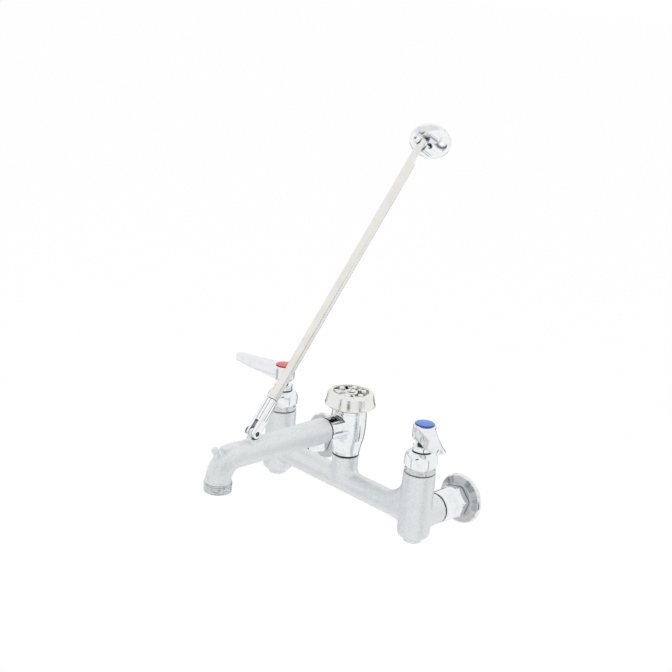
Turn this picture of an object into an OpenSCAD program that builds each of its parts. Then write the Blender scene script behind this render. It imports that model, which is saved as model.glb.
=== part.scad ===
// Wall-mounted service sink mixing faucet with vacuum breaker and wall brace.
// Frame: origin on the wall, midway between the two supplies. +X is the cold side,
// +Y goes into the wall, +Z is up. Millimetres.

/* [Body] */
// Distance between the hot and cold supply axes
centres = 203.2; // [180:0.1:230]
// Distance from the wall to the axis of the valve towers
reach = 73; // [70:0.5:85]
// Diameter of a valve tower
tower_d = 32.4; // [30:0.1:35]
// Height of a tower's top face above the supply axes
tower_top = 47.8; // [46:0.1:50]
// Depth of a tower's bottom face below the supply axes
tower_low = 22; // [20:0.5:24]
// Diameter of the crossbar between the towers
bar_d = 24; // [22:0.5:26]
// Height of the crossbar's axis above the supply axes
bar_z = 1.6; // [0:0.1:3]
// Radius of the sweep from the crossbar's top up into a tower
bar_sweep = 28; // [10:1:30]
// Diameter of the post that carries the vacuum breaker
post_d = 27.4; // [26:0.1:30]
// Height of the post's top face
post_top = 31; // [29:0.5:33]

/* [Supplies] */
// Distance from the wall to the face of a supply boss
boss_face = 42.9; // [41:0.1:44]
// Diameter of the coupling nut's round collar
collar_d = 31.8; // [30:0.1:34]
// Size across the flats of the coupling nut
nut_af = 30; // [28:0.1:32]
// Diameter of the wall flange behind a coupling nut
supply_flange_d = 52; // [48:0.5:56]
// Thickness of the wall flange's rim
supply_flange_rim = 4.6; // [3:0.1:6]
// Radius of the female supply thread
supply_r = 9.5; // [9:0.1:10]

/* [Valves] */
// Size across the flats of a bonnet
bonnet_af = 30.2; // [29:0.1:31]
// Height of a bonnet's shoulder, under the packing nut
bonnet_top = 70; // [68:0.5:72]
// Size across the flats of a packing nut
packing_af = 18.8; // [18:0.1:20]
// Height of a packing nut's top face
packing_top = 76.6; // [75:0.1:78]
// Radius of a valve stem
stem_r = 5; // [4:0.1:5.2]
// Lift of the valve plunger over a quarter turn
plunger_lift = 3; // [1:0.5:3]

/* [Handles] */
// Radius of a lever's hub
hub_r = 11.3; // [11:0.1:12]
// Height of a hub's underside
hub_low = 81.3; // [80:0.1:82]
// Height of a hub's top rim
hub_top = 98; // [97:0.1:99]
// Length of a lever from its axis to its tip
lever_len = 62; // [50:1:80]
// Radius of a lever's rounded tip
lever_tip_r = 8.2; // [6:0.1:9]
// Height of a lever's tip, at the underside
lever_tip_z = 92.5; // [86:0.1:94]
// Forward turn of the closed hot lever from the left
hot_turn = 15.5; // [0:0.5:45]
// Forward turn of the closed cold lever from the right
cold_turn = 35.5; // [0:0.5:45]

/* [Vacuum breaker] */
// Radius of the breaker body at its widest
vb_r = 18.4; // [18:0.1:20]
// Height of the breaker body's top face
vb_top = 80; // [79:0.5:81]
// Height of the hood's lower rim
hood_low = 85.4; // [84:0.1:87]
// Height of the hood's top ring
hood_top = 100.6; // [99:0.1:105]
// Radius of the hood's lower rim
hood_r = 26.2; // [25:0.1:28]
// Lift of the float that shuts the air inlet
float_lift = 3; // [1:0.5:3]

/* [Spout] */
// Height of the spout's axis
spout_z = 64.8; // [63:0.1:67]
// Distance from the wall to the spout's seal
spout_start = 106.8; // [105:0.1:110]
// Distance from the wall to the axis of the outlet
outlet_y = 244.8; // [240:0.1:260]
// Height of the outlet's lower rim
outlet_z = 33.7; // [30:0.1:38]
// Radius of the spout at its seal
spout_r = 13.2; // [13:0.1:14]
// Radius of the spout at its bend
neck_r = 12.1; // [12:0.1:12.5]
// Radius of the bend's centre line
bend_r = 20; // [18:0.5:22]
// Outer radius of the hose thread
hose_r = 13.45; // [13:0.05:14]

/* [Wall brace] */
// Distance from the wall to the brace's lower pivot
lug_y = 204; // [195:0.5:210]
// Height of the brace's lower pivot
lug_z = 83.4; // [83:0.1:85]
// Distance between the brace's two pivots
rod_len = 336.2; // [320:0.1:350]
// Rise of the loose brace above the level
rod_rise = 53; // [45:0.5:65]
// Turn of the loose rod about its own length
rod_turn = 61.5; // [0:0.5:90]
// Tip of the loose wall flange about its pivot
flange_tip = 18; // [-45:0.5:60]
// Diameter of the brace rod
rod_d = 9.6; // [9:0.1:10]
// Radius of the brace's wall flange
brace_flange_r = 21.6; // [21:0.1:24]
// Distance from the wall flange's back to its pivot
brace_stand = 12.5; // [12:0.1:14]
// Sideways place of the wall flange's centre
brace_flange_x = 8.6; // [8:0.1:9]

/* [Hidden] */
$fn = 64;
TINY = 0.01;
GAP = 0.3;          // clearance between pieces that move past each other
FIT = 0.05;         // radial clearance of a running fit
half = centres / 2;
tower_r = tower_d / 2;
bar_r = bar_d / 2;
post_r = post_d / 2;
collar_r = collar_d / 2;
boss_r = collar_r - 0.4;
washer_y = boss_face - 1.3;
inlet_r = supply_r + 0.5;
rod_r = rod_d / 2;
hood_plate = hood_top - 6.4;   // underside of the hood's plate
hood_seat = hood_top - 0.7;    // top of the hood's boss, under the screw's head

// Valve chamber, seat and stop, as heights above the supply axes
chamber_r = 12.6;
chamber_low = 22;
seat_r = 7;
seat_low = 16;
seat_top = 21;
port_r = 4.6;
stop_seat = 5.3;
riser_r = 3.2;
riser_x = 11.2;
barrel_low = 28;
plunger_r = 8;
shoulder_z = 50;

// Stop plug and spindle
plug_r = 9.7;
plug_low = -26.7;
spindle_r = 3.5;

// Clevis, lug and rod
fork_len = 36.4;
fork_slot = 12.6;
fork_w = 11.4;
fork_t = 9.6;
lug_t = 4.2;
rod_start = 20;

// Lapped upper end of the rod, and the wall flange's knuckle
lap_x = 1.2;
lap_len = 24;
knuckle_r = 7;
knuckle_w = 10;
knuckle_x = brace_flange_x - knuckle_w / 2;
hole_x = 10.9;
hole_z = 5.5;

// Points of an arc in the plane, from angle a0 to angle a1
function arc(cx, cy, r, a0, a1, n = 8) =
    [for (i = [0:n]) [cx + r * cos(a0 + (a1 - a0) * i / n), cy + r * sin(a0 + (a1 - a0) * i / n)]];

// Solid of revolution about Z from [radius, height] points
module turned(points) {
    rotate_extrude() polygon(points);
}

// Ring about Z between two heights
module ring(r_out, r_in, z0, z1) {
    translate([0, 0, z0]) difference() {
        cylinder(r = r_out, h = z1 - z0);
        translate([0, 0, -1]) cylinder(r = r_in, h = z1 - z0 + 2);
    }
}

// Cylinder about Z between two heights
module rod_z(r, z0, z1) {
    translate([0, 0, z0]) cylinder(r = r, h = z1 - z0);
}

// Hexagonal prism about Z, given across its flats
module hex_z(af, z0, z1) {
    translate([0, 0, z0]) cylinder(r = af / 2 / cos(30), h = z1 - z0, $fn = 6);
}

// Places a child on the axis of the hot (-1) or cold (+1) tower
module at_tower(side) {
    translate([side * half, -reach, 0]) children();
}

// Places a child modelled along +Z so that it runs from the wall (z = 0) towards the room
module from_wall(side) {
    translate([side * half, 0, 0]) rotate([90, 0, 0]) children();
}

// Places a child modelled along +Z so that it runs up the brace from the lower pivot
module along_brace() {
    translate([0, -lug_y, lug_z]) rotate([rod_rise - 90, 0, 0]) children();
}

// Places a child modelled as fixed to the wall (+Y), with the upper pivot at the origin along X
module at_head() {
    along_brace() translate([0, 0, rod_len]) rotate([0, 0, rod_turn])
        rotate([90 - rod_rise + flange_tip, 0, 0]) children();
}

// Profile points of a flared root: radius r0 + rise at height z0, down to r0 at z0 + len
function root(r0, rise, len, z0) = [for (i = [0:6]) [r0 + rise * (1 - sin(15 * i)), z0 + len * i / 6]];

// The same points from the far end back
function flip(points) = [for (i = [len(points) - 1:-1:0]) points[i]];

// ---- Body ----

module tower_outside() {
    turned(concat(
        [[0, -tower_low]],
        arc(tower_r - 5.6, -tower_low + 5.6, 5.6, -90, 0),
        [[tower_r, tower_top - 0.6], [tower_r - 0.6, tower_top], [0, tower_top]]
    ));
}

module tower_bores() {
    rod_z(chamber_r, chamber_low, tower_top + 1);
    rod_z(seat_r, seat_low, chamber_low + TINY);
    rod_z(port_r, stop_seat - TINY, seat_low + TINY);
    rod_z(seat_r, -tower_low - 1, stop_seat);
}

// Crossbar between the tower axes, flared into both towers and the middle post
module crossbar() {
    translate([0, -reach, bar_z]) rotate([0, 90, 0]) turned(concat(
        [[0, -half]],
        root(bar_r, 3.2, 34, -half),
        flip(root(bar_r, 1.8, -26, 0)),
        root(bar_r, 1.8, 26, 0),
        flip(root(bar_r, 3.2, -34, half)),
        [[0, half]]
    ));
}

// Sweep of the crossbar that rises inside an upright of radius r, on its side towards -X.
// It starts a little inside both, so that it comes out of them at a small angle.
module sweep(r, bend) {
    sunk = 0.25;
    translate([sunk - r - bend, 0, bar_z + bar_r - sunk + bend]) rotate([90, 0, 0]) rotate([0, 0, -90])
        rotate_extrude(angle = 90) translate([bend + bar_r - 0.6, 0]) circle(r = bar_r - 0.6);
}

module body_outside() {
    for (side = [-1, 1]) {
        at_tower(side) tower_outside();
        from_wall(side) rod_z(boss_r, boss_face, reach);
        at_tower(side) rotate([0, 0, side < 0 ? 180 : 0]) sweep(tower_r, bar_sweep);
        translate([0, -reach, 0]) rotate([0, 0, side < 0 ? 180 : 0]) sweep(post_r, 7);
    }
    crossbar();
    translate([0, -reach, 0])
        turned(concat(arc(0, 0, post_r, -90, 0, 8), [[post_r, post_top], [0, post_top]]));
}

module body_casting() {
    color("gainsboro") difference() {
        body_outside();
        for (side = [-1, 1]) {
            at_tower(side) tower_bores();
            at_tower(side) translate([-side * riser_x, 0, 0]) rod_z(riser_r, 0, barrel_low);
            from_wall(side) rod_z(inlet_r, boss_face - 1, reach - 6);
        }
        translate([riser_x - half, -reach, bar_z]) rotate([0, 90, 0])
            cylinder(r = 7, h = centres - 2 * riser_x);
        translate([0, -reach, 0]) rod_z(9, 0, post_top + 1);
    }
}

// ---- Supplies ----

module coupling_nut(side) {
    color("silver") from_wall(side) rotate([0, 0, 12]) difference() {
        union() {
            turned([
                [0, 17], [collar_r, 18.2], [collar_r, washer_y - 0.9], [collar_r - 0.9, washer_y],
                [0, washer_y]
            ]);
            intersection() {
                hex_z(nut_af, 8.8, 19);
                turned([[0, 8], [16.6, 8], [17.5, 9.4], [17.5, 16.2], [15.6, 19.5], [0, 19.5]]);
            }
        }
        rod_z(13.2, 14, 43);
        rod_z(11.6, 8, 15);
    }
}

module inlet_tailpiece(side) {
    color("darkgoldenrod") from_wall(side) difference() {
        union() {
            rod_z(11.4, 0, washer_y);
            rod_z(13, 16, 20);
        }
        rod_z(supply_r, -1, 24);
        rod_z(inlet_r, 23.9, 42);
    }
}

module wall_flange(side) {
    color("silver") from_wall(side) difference() {
        turned(concat(
            [[0, 0], [supply_flange_d / 2 - 0.5, 0], [supply_flange_d / 2, 0.5]],
            arc(supply_flange_d / 2 - 1.6, supply_flange_rim - 1.6, 1.6, 0, 90, 4),
            [[22.5, 5.2], [18.4, 6.4], [17.6, 8.6], [0, 8.6]]
        ));
        rod_z(11.6, -1, 10);
        turned([[0, -1], [23.5, -1], [23.5, 1.4], [16.2, 4.4], [14.2, 6.4], [0, 6.4]]);
    }
}

module coupling_washer(side) {
    color("black") from_wall(side) ring(collar_r - 0.5, inlet_r, washer_y, boss_face);
}

// ---- Valves ----

module valve_seat(side) {
    color("goldenrod") at_tower(side) difference() {
        turned([[0, seat_low], [seat_r, seat_low], [seat_r, 19.6], [6, seat_top], [0, seat_top]]);
        rod_z(port_r, seat_low - 1, seat_top + 1);
    }
}

module bonnet(side) {
    turn = side < 0 ? -13 : -21;
    bell = concat(
        [[0, 49], [15.6, 49], [15.6, 50.4], [13.9, 51.6], [14.2, 53.6], [16.4, 55.4]],
        arc(16.4, 57.4, 1, -60, 0, 3),
        [[17.4, 60.4]],
        arc(7.4, 60.4, 10, 0, 62, 8),
        [[11.6, bonnet_top - 0.5], [11, bonnet_top], [7.2, bonnet_top], [7.2, 74.4], [0, 74.4]]
    );
    color("silver") at_tower(side) difference() {
        union() {
            intersection() {
                turned(bell);
                union() {
                    rotate([0, 0, turn]) hex_z(bonnet_af, 52.4, 75);
                    rod_z(18, 40, 52.5);
                }
            }
            rod_z(chamber_r, barrel_low, 49.1);
        }
        rod_z(plunger_r + GAP, barrel_low - 1, shoulder_z);
        rod_z(stem_r + GAP, shoulder_z - 1, 76);
        rod_z(6.3, 66, 76);
    }
}

module bonnet_washer(side) {
    color("dimgray") at_tower(side) ring(15.4, chamber_r, tower_top, 49);
}

module packing_seal(side) {
    color("black") at_tower(side) ring(9.6, 7.2, bonnet_top, 70.9);
}

module stem_packing(side) {
    color("dimgray") at_tower(side) ring(6.3, stem_r + FIT, 66, 74.4);
}

module packing_nut(side) {
    turn = side < 0 ? 5 : 9;
    color("silver") at_tower(side) difference() {
        intersection() {
            rotate([0, 0, turn]) hex_z(packing_af, 70.9, packing_top);
            turned([
                [0, 70.9], [9.9, 70.9], [10.6, 71.8], [10.6, 75.2], [9, packing_top], [0, packing_top]
            ]);
        }
        rod_z(7.2, 70, 75);
        rod_z(stem_r + GAP, 74, packing_top + 1);
    }
}

module stem(side) {
    color("darkgoldenrod") at_tower(side) difference() {
        union() {
            rod_z(4.5, 32.4, 45);
            rod_z(7.4, 44.5, shoulder_z - GAP);
            rod_z(stem_r, 49, hub_low);
            rod_z(4.6, hub_low - 1, 92);
        }
        rod_z(1.8, 81, 93);
    }
}

// Outline of a lever as a solid between an upper crest and a lower skirt
module lever_arm() {
    tip = lever_len - lever_tip_r;
    hull() {
        rod_z(10.6, 82.8, 88);
        translate([tip, 0, lever_tip_z]) rod_z(lever_tip_r - 0.6, 0, 0.4);
        translate([tip, 0, lever_tip_z]) rod_z(lever_tip_r, 0.8, 3.8);
        rod_z(6.5, 95.4, 97.4);
        translate([tip + 0.6, 0, lever_tip_z]) rod_z(4.6, 5.8, 6.6);
    }
}

module lever_hollow() {
    tip = lever_len - lever_tip_r;
    hull() {
        translate([16, 0, 0]) rod_z(7.4, 80, 88);
        translate([tip - 4, 0, lever_tip_z]) rod_z(4.6, -3, 3);
        translate([18, 0, 0]) rod_z(4.5, 88, 91.4);
    }
}

module lever(side) {
    turn = side < 0 ? 180 + hot_turn : -cold_turn;
    color("silver") at_tower(side) difference() {
        union() {
            turned([
                [0, hub_low], [8.8, hub_low], [9.4, hub_low + 0.8], [hub_r, 84.4],
                [hub_r, hub_top - 2], [hub_r - 0.7, hub_top - 0.3], [hub_r - 1.2, hub_top], [0, hub_top]
            ]);
            rotate([0, 0, turn]) lever_arm();
        }
        rotate([0, 0, turn]) lever_hollow();
        rod_z(9.7, 95.8, hub_top + 1);
        rod_z(4.6, hub_low - 1, 92.01);
        rod_z(3.6, 92, 96);
    }
}

module handle_screw(side) {
    color("dimgray") at_tower(side) difference() {
        union() {
            rod_z(1.8, 83, 92.1);
            turned([[0, 92], [3.4, 92], [3.4, 94], [2.6, 94.8], [0, 94.8]]);
        }
        translate([-0.5, -3, 93.8]) cube([1, 6, 2]);
    }
}

module index_button(side) {
    color(side < 0 ? "red" : "blue") at_tower(side) difference() {
        turned(concat(
            [[0, 95.8], [9.6, 95.8], [9.6, 98.1]],
            arc(8.6, 98.1, 1, 0, 70, 4),
            [[6.5, 99.35], [3, 99.6], [0, 99.7]]
        ));
        rod_z(4, 95, 96.8);
    }
}

module plunger(side) {
    color("goldenrod") at_tower(side) difference() {
        union() {
            rod_z(6.6, 24.3, 27);
            rod_z(plunger_r, 27, 44 - plunger_lift);
        }
        rod_z(4.5 + GAP, 28.5, 42);
        rod_z(2, 24, 29);
    }
}

module seat_washer(side) {
    color("black") at_tower(side) difference() {
        turned([[0, seat_top + GAP], [6, seat_top + GAP], [6.5, 21.9], [6.5, 24.3], [0, 24.3]]);
        rod_z(2, 21, 25);
    }
}

// ---- Built-in stops ----

module stop_plug(side) {
    color("gainsboro") at_tower(side) difference() {
        union() {
            turned(concat(
                [[0, plug_low]],
                arc(plug_r - 1.4, plug_low + 1.4, 1.4, -90, 0, 4),
                [[plug_r, -tower_low], [0, -tower_low]]
            ));
            rod_z(seat_r, -tower_low - TINY, -13.5);
        }
        rod_z(spindle_r + FIT, plug_low - 1, -13);
    }
}

module stop_spindle(side) {
    color("goldenrod") at_tower(side) difference() {
        union() {
            rod_z(spindle_r, -25.6, -10);
            rod_z(6.2, -13.2, -10.4);
            rod_z(3, -11, -0.8);
        }
        translate([-0.6, -4, -26]) cube([1.2, 8, 2.2]);
    }
}

module stop_disc(side) {
    color("darkgoldenrod") at_tower(side) difference() {
        turned([[0, -7.9], [6.6, -7.9], [6.6, 0], [5.4, 1], [0, 1]]);
        rod_z(3 + GAP, -9, -0.4);
    }
}

// ---- Vacuum breaker ----

module vb_base_seal() {
    color("black") translate([0, -reach, 0]) ring(post_r + 0.2, 9.4, post_top, 32.3);
}

module vb_body() {
    outside = [
        [0, 24], [8.9, 24], [8.9, 32.3], [13.5, 32.3], [14, 32.9], [14.2, 36], [14.9, 39.5], [15.7, 43],
        [16.6, 46.5], [17.3, 50], [17.8, 53.5], [18.1, 57], [vb_r - 0.1, 60], [vb_r, 63.5], [vb_r, 73],
        [18, 76.5], [17.6, vb_top], [0, vb_top]
    ];
    color("silver") translate([0, -reach, 0]) difference() {
        union() {
            turned(outside);
            translate([0, 0, spout_z]) rotate([90, 0, 0]) {
                rod_z(12.3, 0, spout_start - reach);
                turned(concat([[0, 0]], root(12.3, 3.2, 24, 0), [[0, 24]]));
            }
        }
        difference() {
            turned([[0, 23], [7.4, 23], [7.4, 44], [13.6, 52], [13.6, 81], [0, 81]]);
            translate([-15, -2, 62]) cube([30, 4, 4]);
            rod_z(5, 60, 69);
        }
        rod_z(2.5 + GAP, 59, 70);
        translate([0, 0, spout_z]) rotate([90, 0, 0]) rod_z(9.4, 8, 40);
    }
}

module vb_bonnet() {
    ring_shape = [[9, 76], [13.6, 76], [13.6, vb_top], [18.2, vb_top], [18.2, 82.4], [9, 82.4]];
    color("silver") translate([0, -reach, 0]) difference() {
        union() {
            turned(ring_shape);
            for (a = [15:60:315]) rotate([0, 0, a]) translate([10, -1.5, 81])
                cube([7.6, 3, hood_plate - 81]);
            for (a = [45:120:285]) rotate([0, 0, a]) translate([0, -1.2, 79]) cube([12, 2.4, 3]);
            rod_z(4.4, 78.6, hood_plate);
        }
        rod_z(2, 78, hood_plate + 1);
    }
}

module vb_float() {
    color("goldenrod") translate([0, -reach, 0]) {
        rod_z(2.5, 56, 69.4);
        rod_z(10.4, 69.3, 71);
    }
}

module vb_float_washer() {
    color("black") translate([0, -reach, 0]) rod_z(10.8, 71, 75.8 - float_lift);
}

module hood_web(a) {
    rotate([0, 0, a]) translate([0, -1.6, hood_plate + 3]) cube([18.2, 3.2, 1.8]);
}

module vb_hood() {
    shell = concat(
        [[0, hood_plate], [22.4, hood_plate], [24.4, hood_low + 0.4], [25.2, hood_low],
         [hood_r, hood_low + 0.7], [hood_r, hood_low + 2], [25.3, hood_low + 4.2], [24.6, hood_low + 7.6],
         [24.2, hood_low + 9.8]],
        arc(20.6, hood_top - 4.4, 3.4, 0, 60, 5),
        [[20, hood_top - 0.5], [19.2, hood_top], [18.6, hood_top - 0.3], [18, hood_plate + 3],
         [0, hood_plate + 3]]
    );
    color("silver") translate([0, -reach, 0]) difference() {
        union() {
            turned(shell);
            for (a = [30:60:330]) hood_web(a);
            rod_z(7, hood_plate + 2.9, hood_seat);
            for (a = [0:60:300]) rotate([0, 0, a]) translate([13.4, 0, hood_plate + 2.9])
                cylinder(r = 2.6, h = 3.4);
        }
        for (a = [0:60:300]) rotate([0, 0, a + 15]) translate([10.6, 0, hood_plate - 5]) rod_z(1.7, 0, 10);
        rod_z(2.2, hood_plate - 1, hood_top + 1);
    }
}

module vb_hood_screw() {
    color("silver") translate([0, -reach, 0]) difference() {
        union() {
            rod_z(2, 83, hood_seat + 0.1);
            turned([
                [0, hood_seat], [4, hood_seat], [4, hood_seat + 1], [3, hood_seat + 1.8], [0, hood_seat + 1.8]
            ]);
        }
        translate([-0.5, -4.5, hood_seat + 1]) cube([1, 9, 2]);
    }
}

// ---- Spout ----

module spout_seal() {
    color("black") translate([0, 0, spout_z]) rotate([90, 0, 0])
        ring(12.8, 9.4, spout_start, spout_start + 1.3);
}

// Straight length of the spout as a tapered solid, shrunk by wall for its waterway
module spout_run(wall) {
    start = spout_start + 1.3;
    run = outlet_y - bend_r - start;
    translate([0, -start, spout_z]) rotate([90, 0, 0]) translate([0, 0, wall > 0 ? -1 : 0])
        cylinder(r1 = spout_r - wall, r2 = neck_r - wall, h = run + (wall > 0 ? 1 : 0));
}

// Quarter bend from the spout's run down to the outlet
module spout_bend(wall) {
    translate([0, -outlet_y + bend_r, spout_z - bend_r]) rotate([90, 0, -90])
        rotate_extrude(angle = 90) translate([bend_r, 0]) circle(r = neck_r - wall);
}

module hose_thread() {
    pitch = 2.2;
    ring_z = outlet_z + 0.8;
    rod_z(hose_r - 0.9, outlet_z, spout_z - bend_r + TINY);
    root_r = hose_r - 0.95;
    for (i = [0:3]) {
        translate([0, 0, ring_z + pitch * i])
            turned([
                [0, -0.75], [root_r, -0.75], [hose_r, -0.25], [hose_r, 0.25], [root_r, 0.75], [0, 0.75]
            ]);
    }
}

// Knob and shoulder that keep a pail's bail on the bend
module pail_hook() {
    knob_y = outlet_y + 5.8;
    knob_z = spout_z + 10.9;
    translate([0, -knob_y, knob_z]) rotate([21, 0, 0])
        turned(concat([[0, -11], [3.2, -11], [3, -3]], arc(0, 0, 3.7, -42, 90, 10)));
    intersection() {
        translate([0, 2.9 - outlet_y, spout_z]) rotate([-90, 0, 0])
            turned([[0, 0], [11, 0], [12.2, 1.4], [12.8, 5], [12.8, 20], [0, 20]]);
        translate([-5, -outlet_y, spout_z + 3]) cube([10, 22, 20]);
    }
}

module brace_lug() {
    translate([0, -lug_y, 0]) {
        rod_z(6.6, 72, spout_z + 13.4);
        translate([-lug_t / 2, 0, lug_z]) rotate([0, 90, 0]) cylinder(r = 5, h = lug_t);
        translate([-lug_t / 2, -5, 74]) cube([lug_t, 10, lug_z - 74]);
    }
}

module spout() {
    color("gainsboro") difference() {
        union() {
            spout_run(0);
            spout_bend(0);
            translate([0, -outlet_y, 0]) {
                hose_thread();
                ring(hose_r - 0.6, 5, outlet_z + 9, spout_z - bend_r);
            }
            pail_hook();
            brace_lug();
        }
        spout_run(3);
        spout_bend(3);
        translate([0, -outlet_y, 0]) rod_z(neck_r - 2.6, outlet_z - 1, spout_z - bend_r + TINY);
        translate([-5, -lug_y, lug_z]) rotate([0, 90, 0]) cylinder(r = 2.6, h = 10);
    }
}

// ---- Wall brace ----

module brace_clevis() {
    color("silver") along_brace() difference() {
        union() {
            intersection() {
                translate([-fork_w / 2, -fork_t / 2, 0]) cube([fork_w, fork_t, fork_len]);
                rod_z(6.9, 0, fork_len);
            }
            rotate([0, 90, 0]) translate([0, 0, -fork_w / 2]) cylinder(r = fork_t / 2, h = fork_w);
        }
        translate([-lug_t / 2 - GAP, -fork_t, -fork_t])
            cube([lug_t + 2 * GAP, 2 * fork_t, fork_t + fork_slot]);
        rotate([0, 90, 0]) translate([0, 0, -fork_w]) cylinder(r = 2.5, h = 2 * fork_w);
        rod_z(3 + FIT, rod_start - 0.6, fork_len + 1);
    }
}

module clevis_screw() {
    color("dimgray") translate([0, -lug_y, lug_z]) rotate([0, 90, 0]) difference() {
        union() {
            rod_z(2.5, -6, fork_w / 2 - 0.8);
            turned([[0, -8.4], [3.2, -8.4], [4.1, -7.4], [4.1, -fork_w / 2], [0, -fork_w / 2]]);
        }
        translate([0, 0, -9]) cylinder(r = 1.7, h = 2.4, $fn = 6);
    }
}

module brace_rod() {
    color("darkkhaki") along_brace() rotate([0, 0, rod_turn]) difference() {
        union() {
            rod_z(3, rod_start, fork_len + 1);
            rod_z(rod_r, fork_len + GAP, rod_len);
            translate([-rod_r, 0, rod_len]) rotate([0, 90, 0]) cylinder(r = rod_r, h = rod_d);
        }
        translate([lap_x, -10, rod_len - lap_len]) cube([10, 20, 40]);
        translate([-10, 0, rod_len]) rotate([0, 90, 0]) cylinder(r = 2.5 + FIT, h = 20);
    }
}

module pivot_washer() {
    color("silver") at_head() rotate([0, 90, 0]) ring(4.6, 2.5, lap_x + GAP, knuckle_x);
}

module brace_flange() {
    dome = concat(
        [[0, 0], [brace_flange_r - 0.4, 0], [brace_flange_r, 0.4]],
        arc(brace_flange_r - 1.2, 1.2, 1.2, 0, 90, 4),
        [[17.5, 3.2], [12, 4.1], [6, 4.6], [0, 4.6]]
    );
    color("silver") at_head() difference() {
        union() {
            translate([brace_flange_x, brace_stand, 0]) rotate([90, 0, 0]) turned(dome);
            translate([knuckle_x, 0, 0]) rotate([0, 90, 0]) cylinder(r = knuckle_r, h = knuckle_w);
            translate([knuckle_x, 0, -knuckle_r]) cube([knuckle_w, brace_stand - 2, 2 * knuckle_r]);
        }
        rotate([0, 90, 0]) rod_z(2.5, 0, knuckle_x + knuckle_w - 1.6);
        translate([knuckle_x + 2.6, 0, 0]) rotate([37, 0, 0]) rod_z(2.1, 1, 10);
        for (side = [-1, 1]) {
            translate([brace_flange_x + side * hole_x, brace_stand + 1, side * hole_z]) rotate([90, 0, 0]) {
                cylinder(r = 2.4, h = 10);
                translate([0, 0, 3]) cylinder(r = 5.4, h = 3);
            }
        }
    }
}

module pivot_screw() {
    color("dimgray") at_head() rotate([0, 90, 0]) difference() {
        union() {
            rod_z(2.5, -6, knuckle_x + 7);
            turned([[0, -9], [3.2, -9], [4.2, -8.2], [4.2, -rod_r - GAP], [0, -rod_r - GAP]]);
        }
        translate([0, 0, -10]) cylinder(r = 1.8, h = 3, $fn = 6);
    }
}

body_casting();
coupling_nut(-1);  // hot_coupling_nut
coupling_nut(1);  // cold_coupling_nut
inlet_tailpiece(-1);  // hot_inlet_tailpiece
inlet_tailpiece(1);  // cold_inlet_tailpiece
wall_flange(-1);  // hot_wall_flange
wall_flange(1);  // cold_wall_flange
coupling_washer(-1);  // hot_coupling_washer
coupling_washer(1);  // cold_coupling_washer
valve_seat(-1);  // hot_valve_seat
valve_seat(1);  // cold_valve_seat
bonnet(-1);  // hot_bonnet
bonnet(1);  // cold_bonnet
bonnet_washer(-1);  // hot_bonnet_washer
bonnet_washer(1);  // cold_bonnet_washer
packing_nut(-1);  // hot_packing_nut
packing_nut(1);  // cold_packing_nut
packing_seal(-1);  // hot_packing_seal
packing_seal(1);  // cold_packing_seal
stem_packing(-1);  // hot_stem_packing
stem_packing(1);  // cold_stem_packing
stem(-1);  // hot_stem
stem(1);  // cold_stem
lever(-1);  // hot_lever
lever(1);  // cold_lever
index_button(-1);  // hot_index_button
index_button(1);  // cold_index_button
handle_screw(-1);  // hot_handle_screw
handle_screw(1);  // cold_handle_screw
plunger(-1);  // hot_plunger
plunger(1);  // cold_plunger
seat_washer(-1);  // hot_seat_washer
seat_washer(1);  // cold_seat_washer
stop_plug(-1);  // hot_stop_plug
stop_plug(1);  // cold_stop_plug
stop_spindle(-1);  // hot_stop_spindle
stop_spindle(1);  // cold_stop_spindle
stop_disc(-1);  // hot_stop_disc
stop_disc(1);  // cold_stop_disc
vb_base_seal();
vb_body();
vb_bonnet();
vb_float();
vb_float_washer();
vb_hood();
vb_hood_screw();
spout_seal();
spout();
brace_clevis();
clevis_screw();
brace_rod();
pivot_washer();
brace_flange();
pivot_screw();
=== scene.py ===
"""Wall-mounted service sink faucet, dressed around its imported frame.

The origin is on the wall, midway between the two supplies. +X is the cold side, +Y goes into
the wall and +Z is up. Sizes in the classes are millimetres, and every mesh is made in metres.
"""

import logging
import math
from dataclasses import dataclass
from enum import Enum
from typing import Any, Callable, ClassVar, Sequence

import bmesh
import bpy
from mathutils import Matrix, Vector


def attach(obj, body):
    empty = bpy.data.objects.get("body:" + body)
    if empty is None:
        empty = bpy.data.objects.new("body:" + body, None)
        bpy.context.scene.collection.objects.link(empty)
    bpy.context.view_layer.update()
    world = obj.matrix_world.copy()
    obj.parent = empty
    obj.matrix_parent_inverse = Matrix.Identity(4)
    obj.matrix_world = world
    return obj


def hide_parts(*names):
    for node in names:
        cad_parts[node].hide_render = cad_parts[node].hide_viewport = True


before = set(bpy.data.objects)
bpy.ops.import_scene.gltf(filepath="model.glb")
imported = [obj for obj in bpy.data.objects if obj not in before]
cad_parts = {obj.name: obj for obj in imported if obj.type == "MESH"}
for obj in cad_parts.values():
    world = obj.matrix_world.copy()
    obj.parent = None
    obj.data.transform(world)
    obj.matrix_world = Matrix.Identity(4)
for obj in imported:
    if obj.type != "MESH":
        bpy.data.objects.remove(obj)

Point = tuple[float, float]
Triple = tuple[float, float, float]
Face = tuple[int, ...]
Limit = Callable[[float, float, float], float]
Piece = bpy.types.Object

MM = 0.001
HOUSING = "faucet_body"
log = logging.getLogger("service_sink_faucet")


# ---- Shader maths ----


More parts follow.
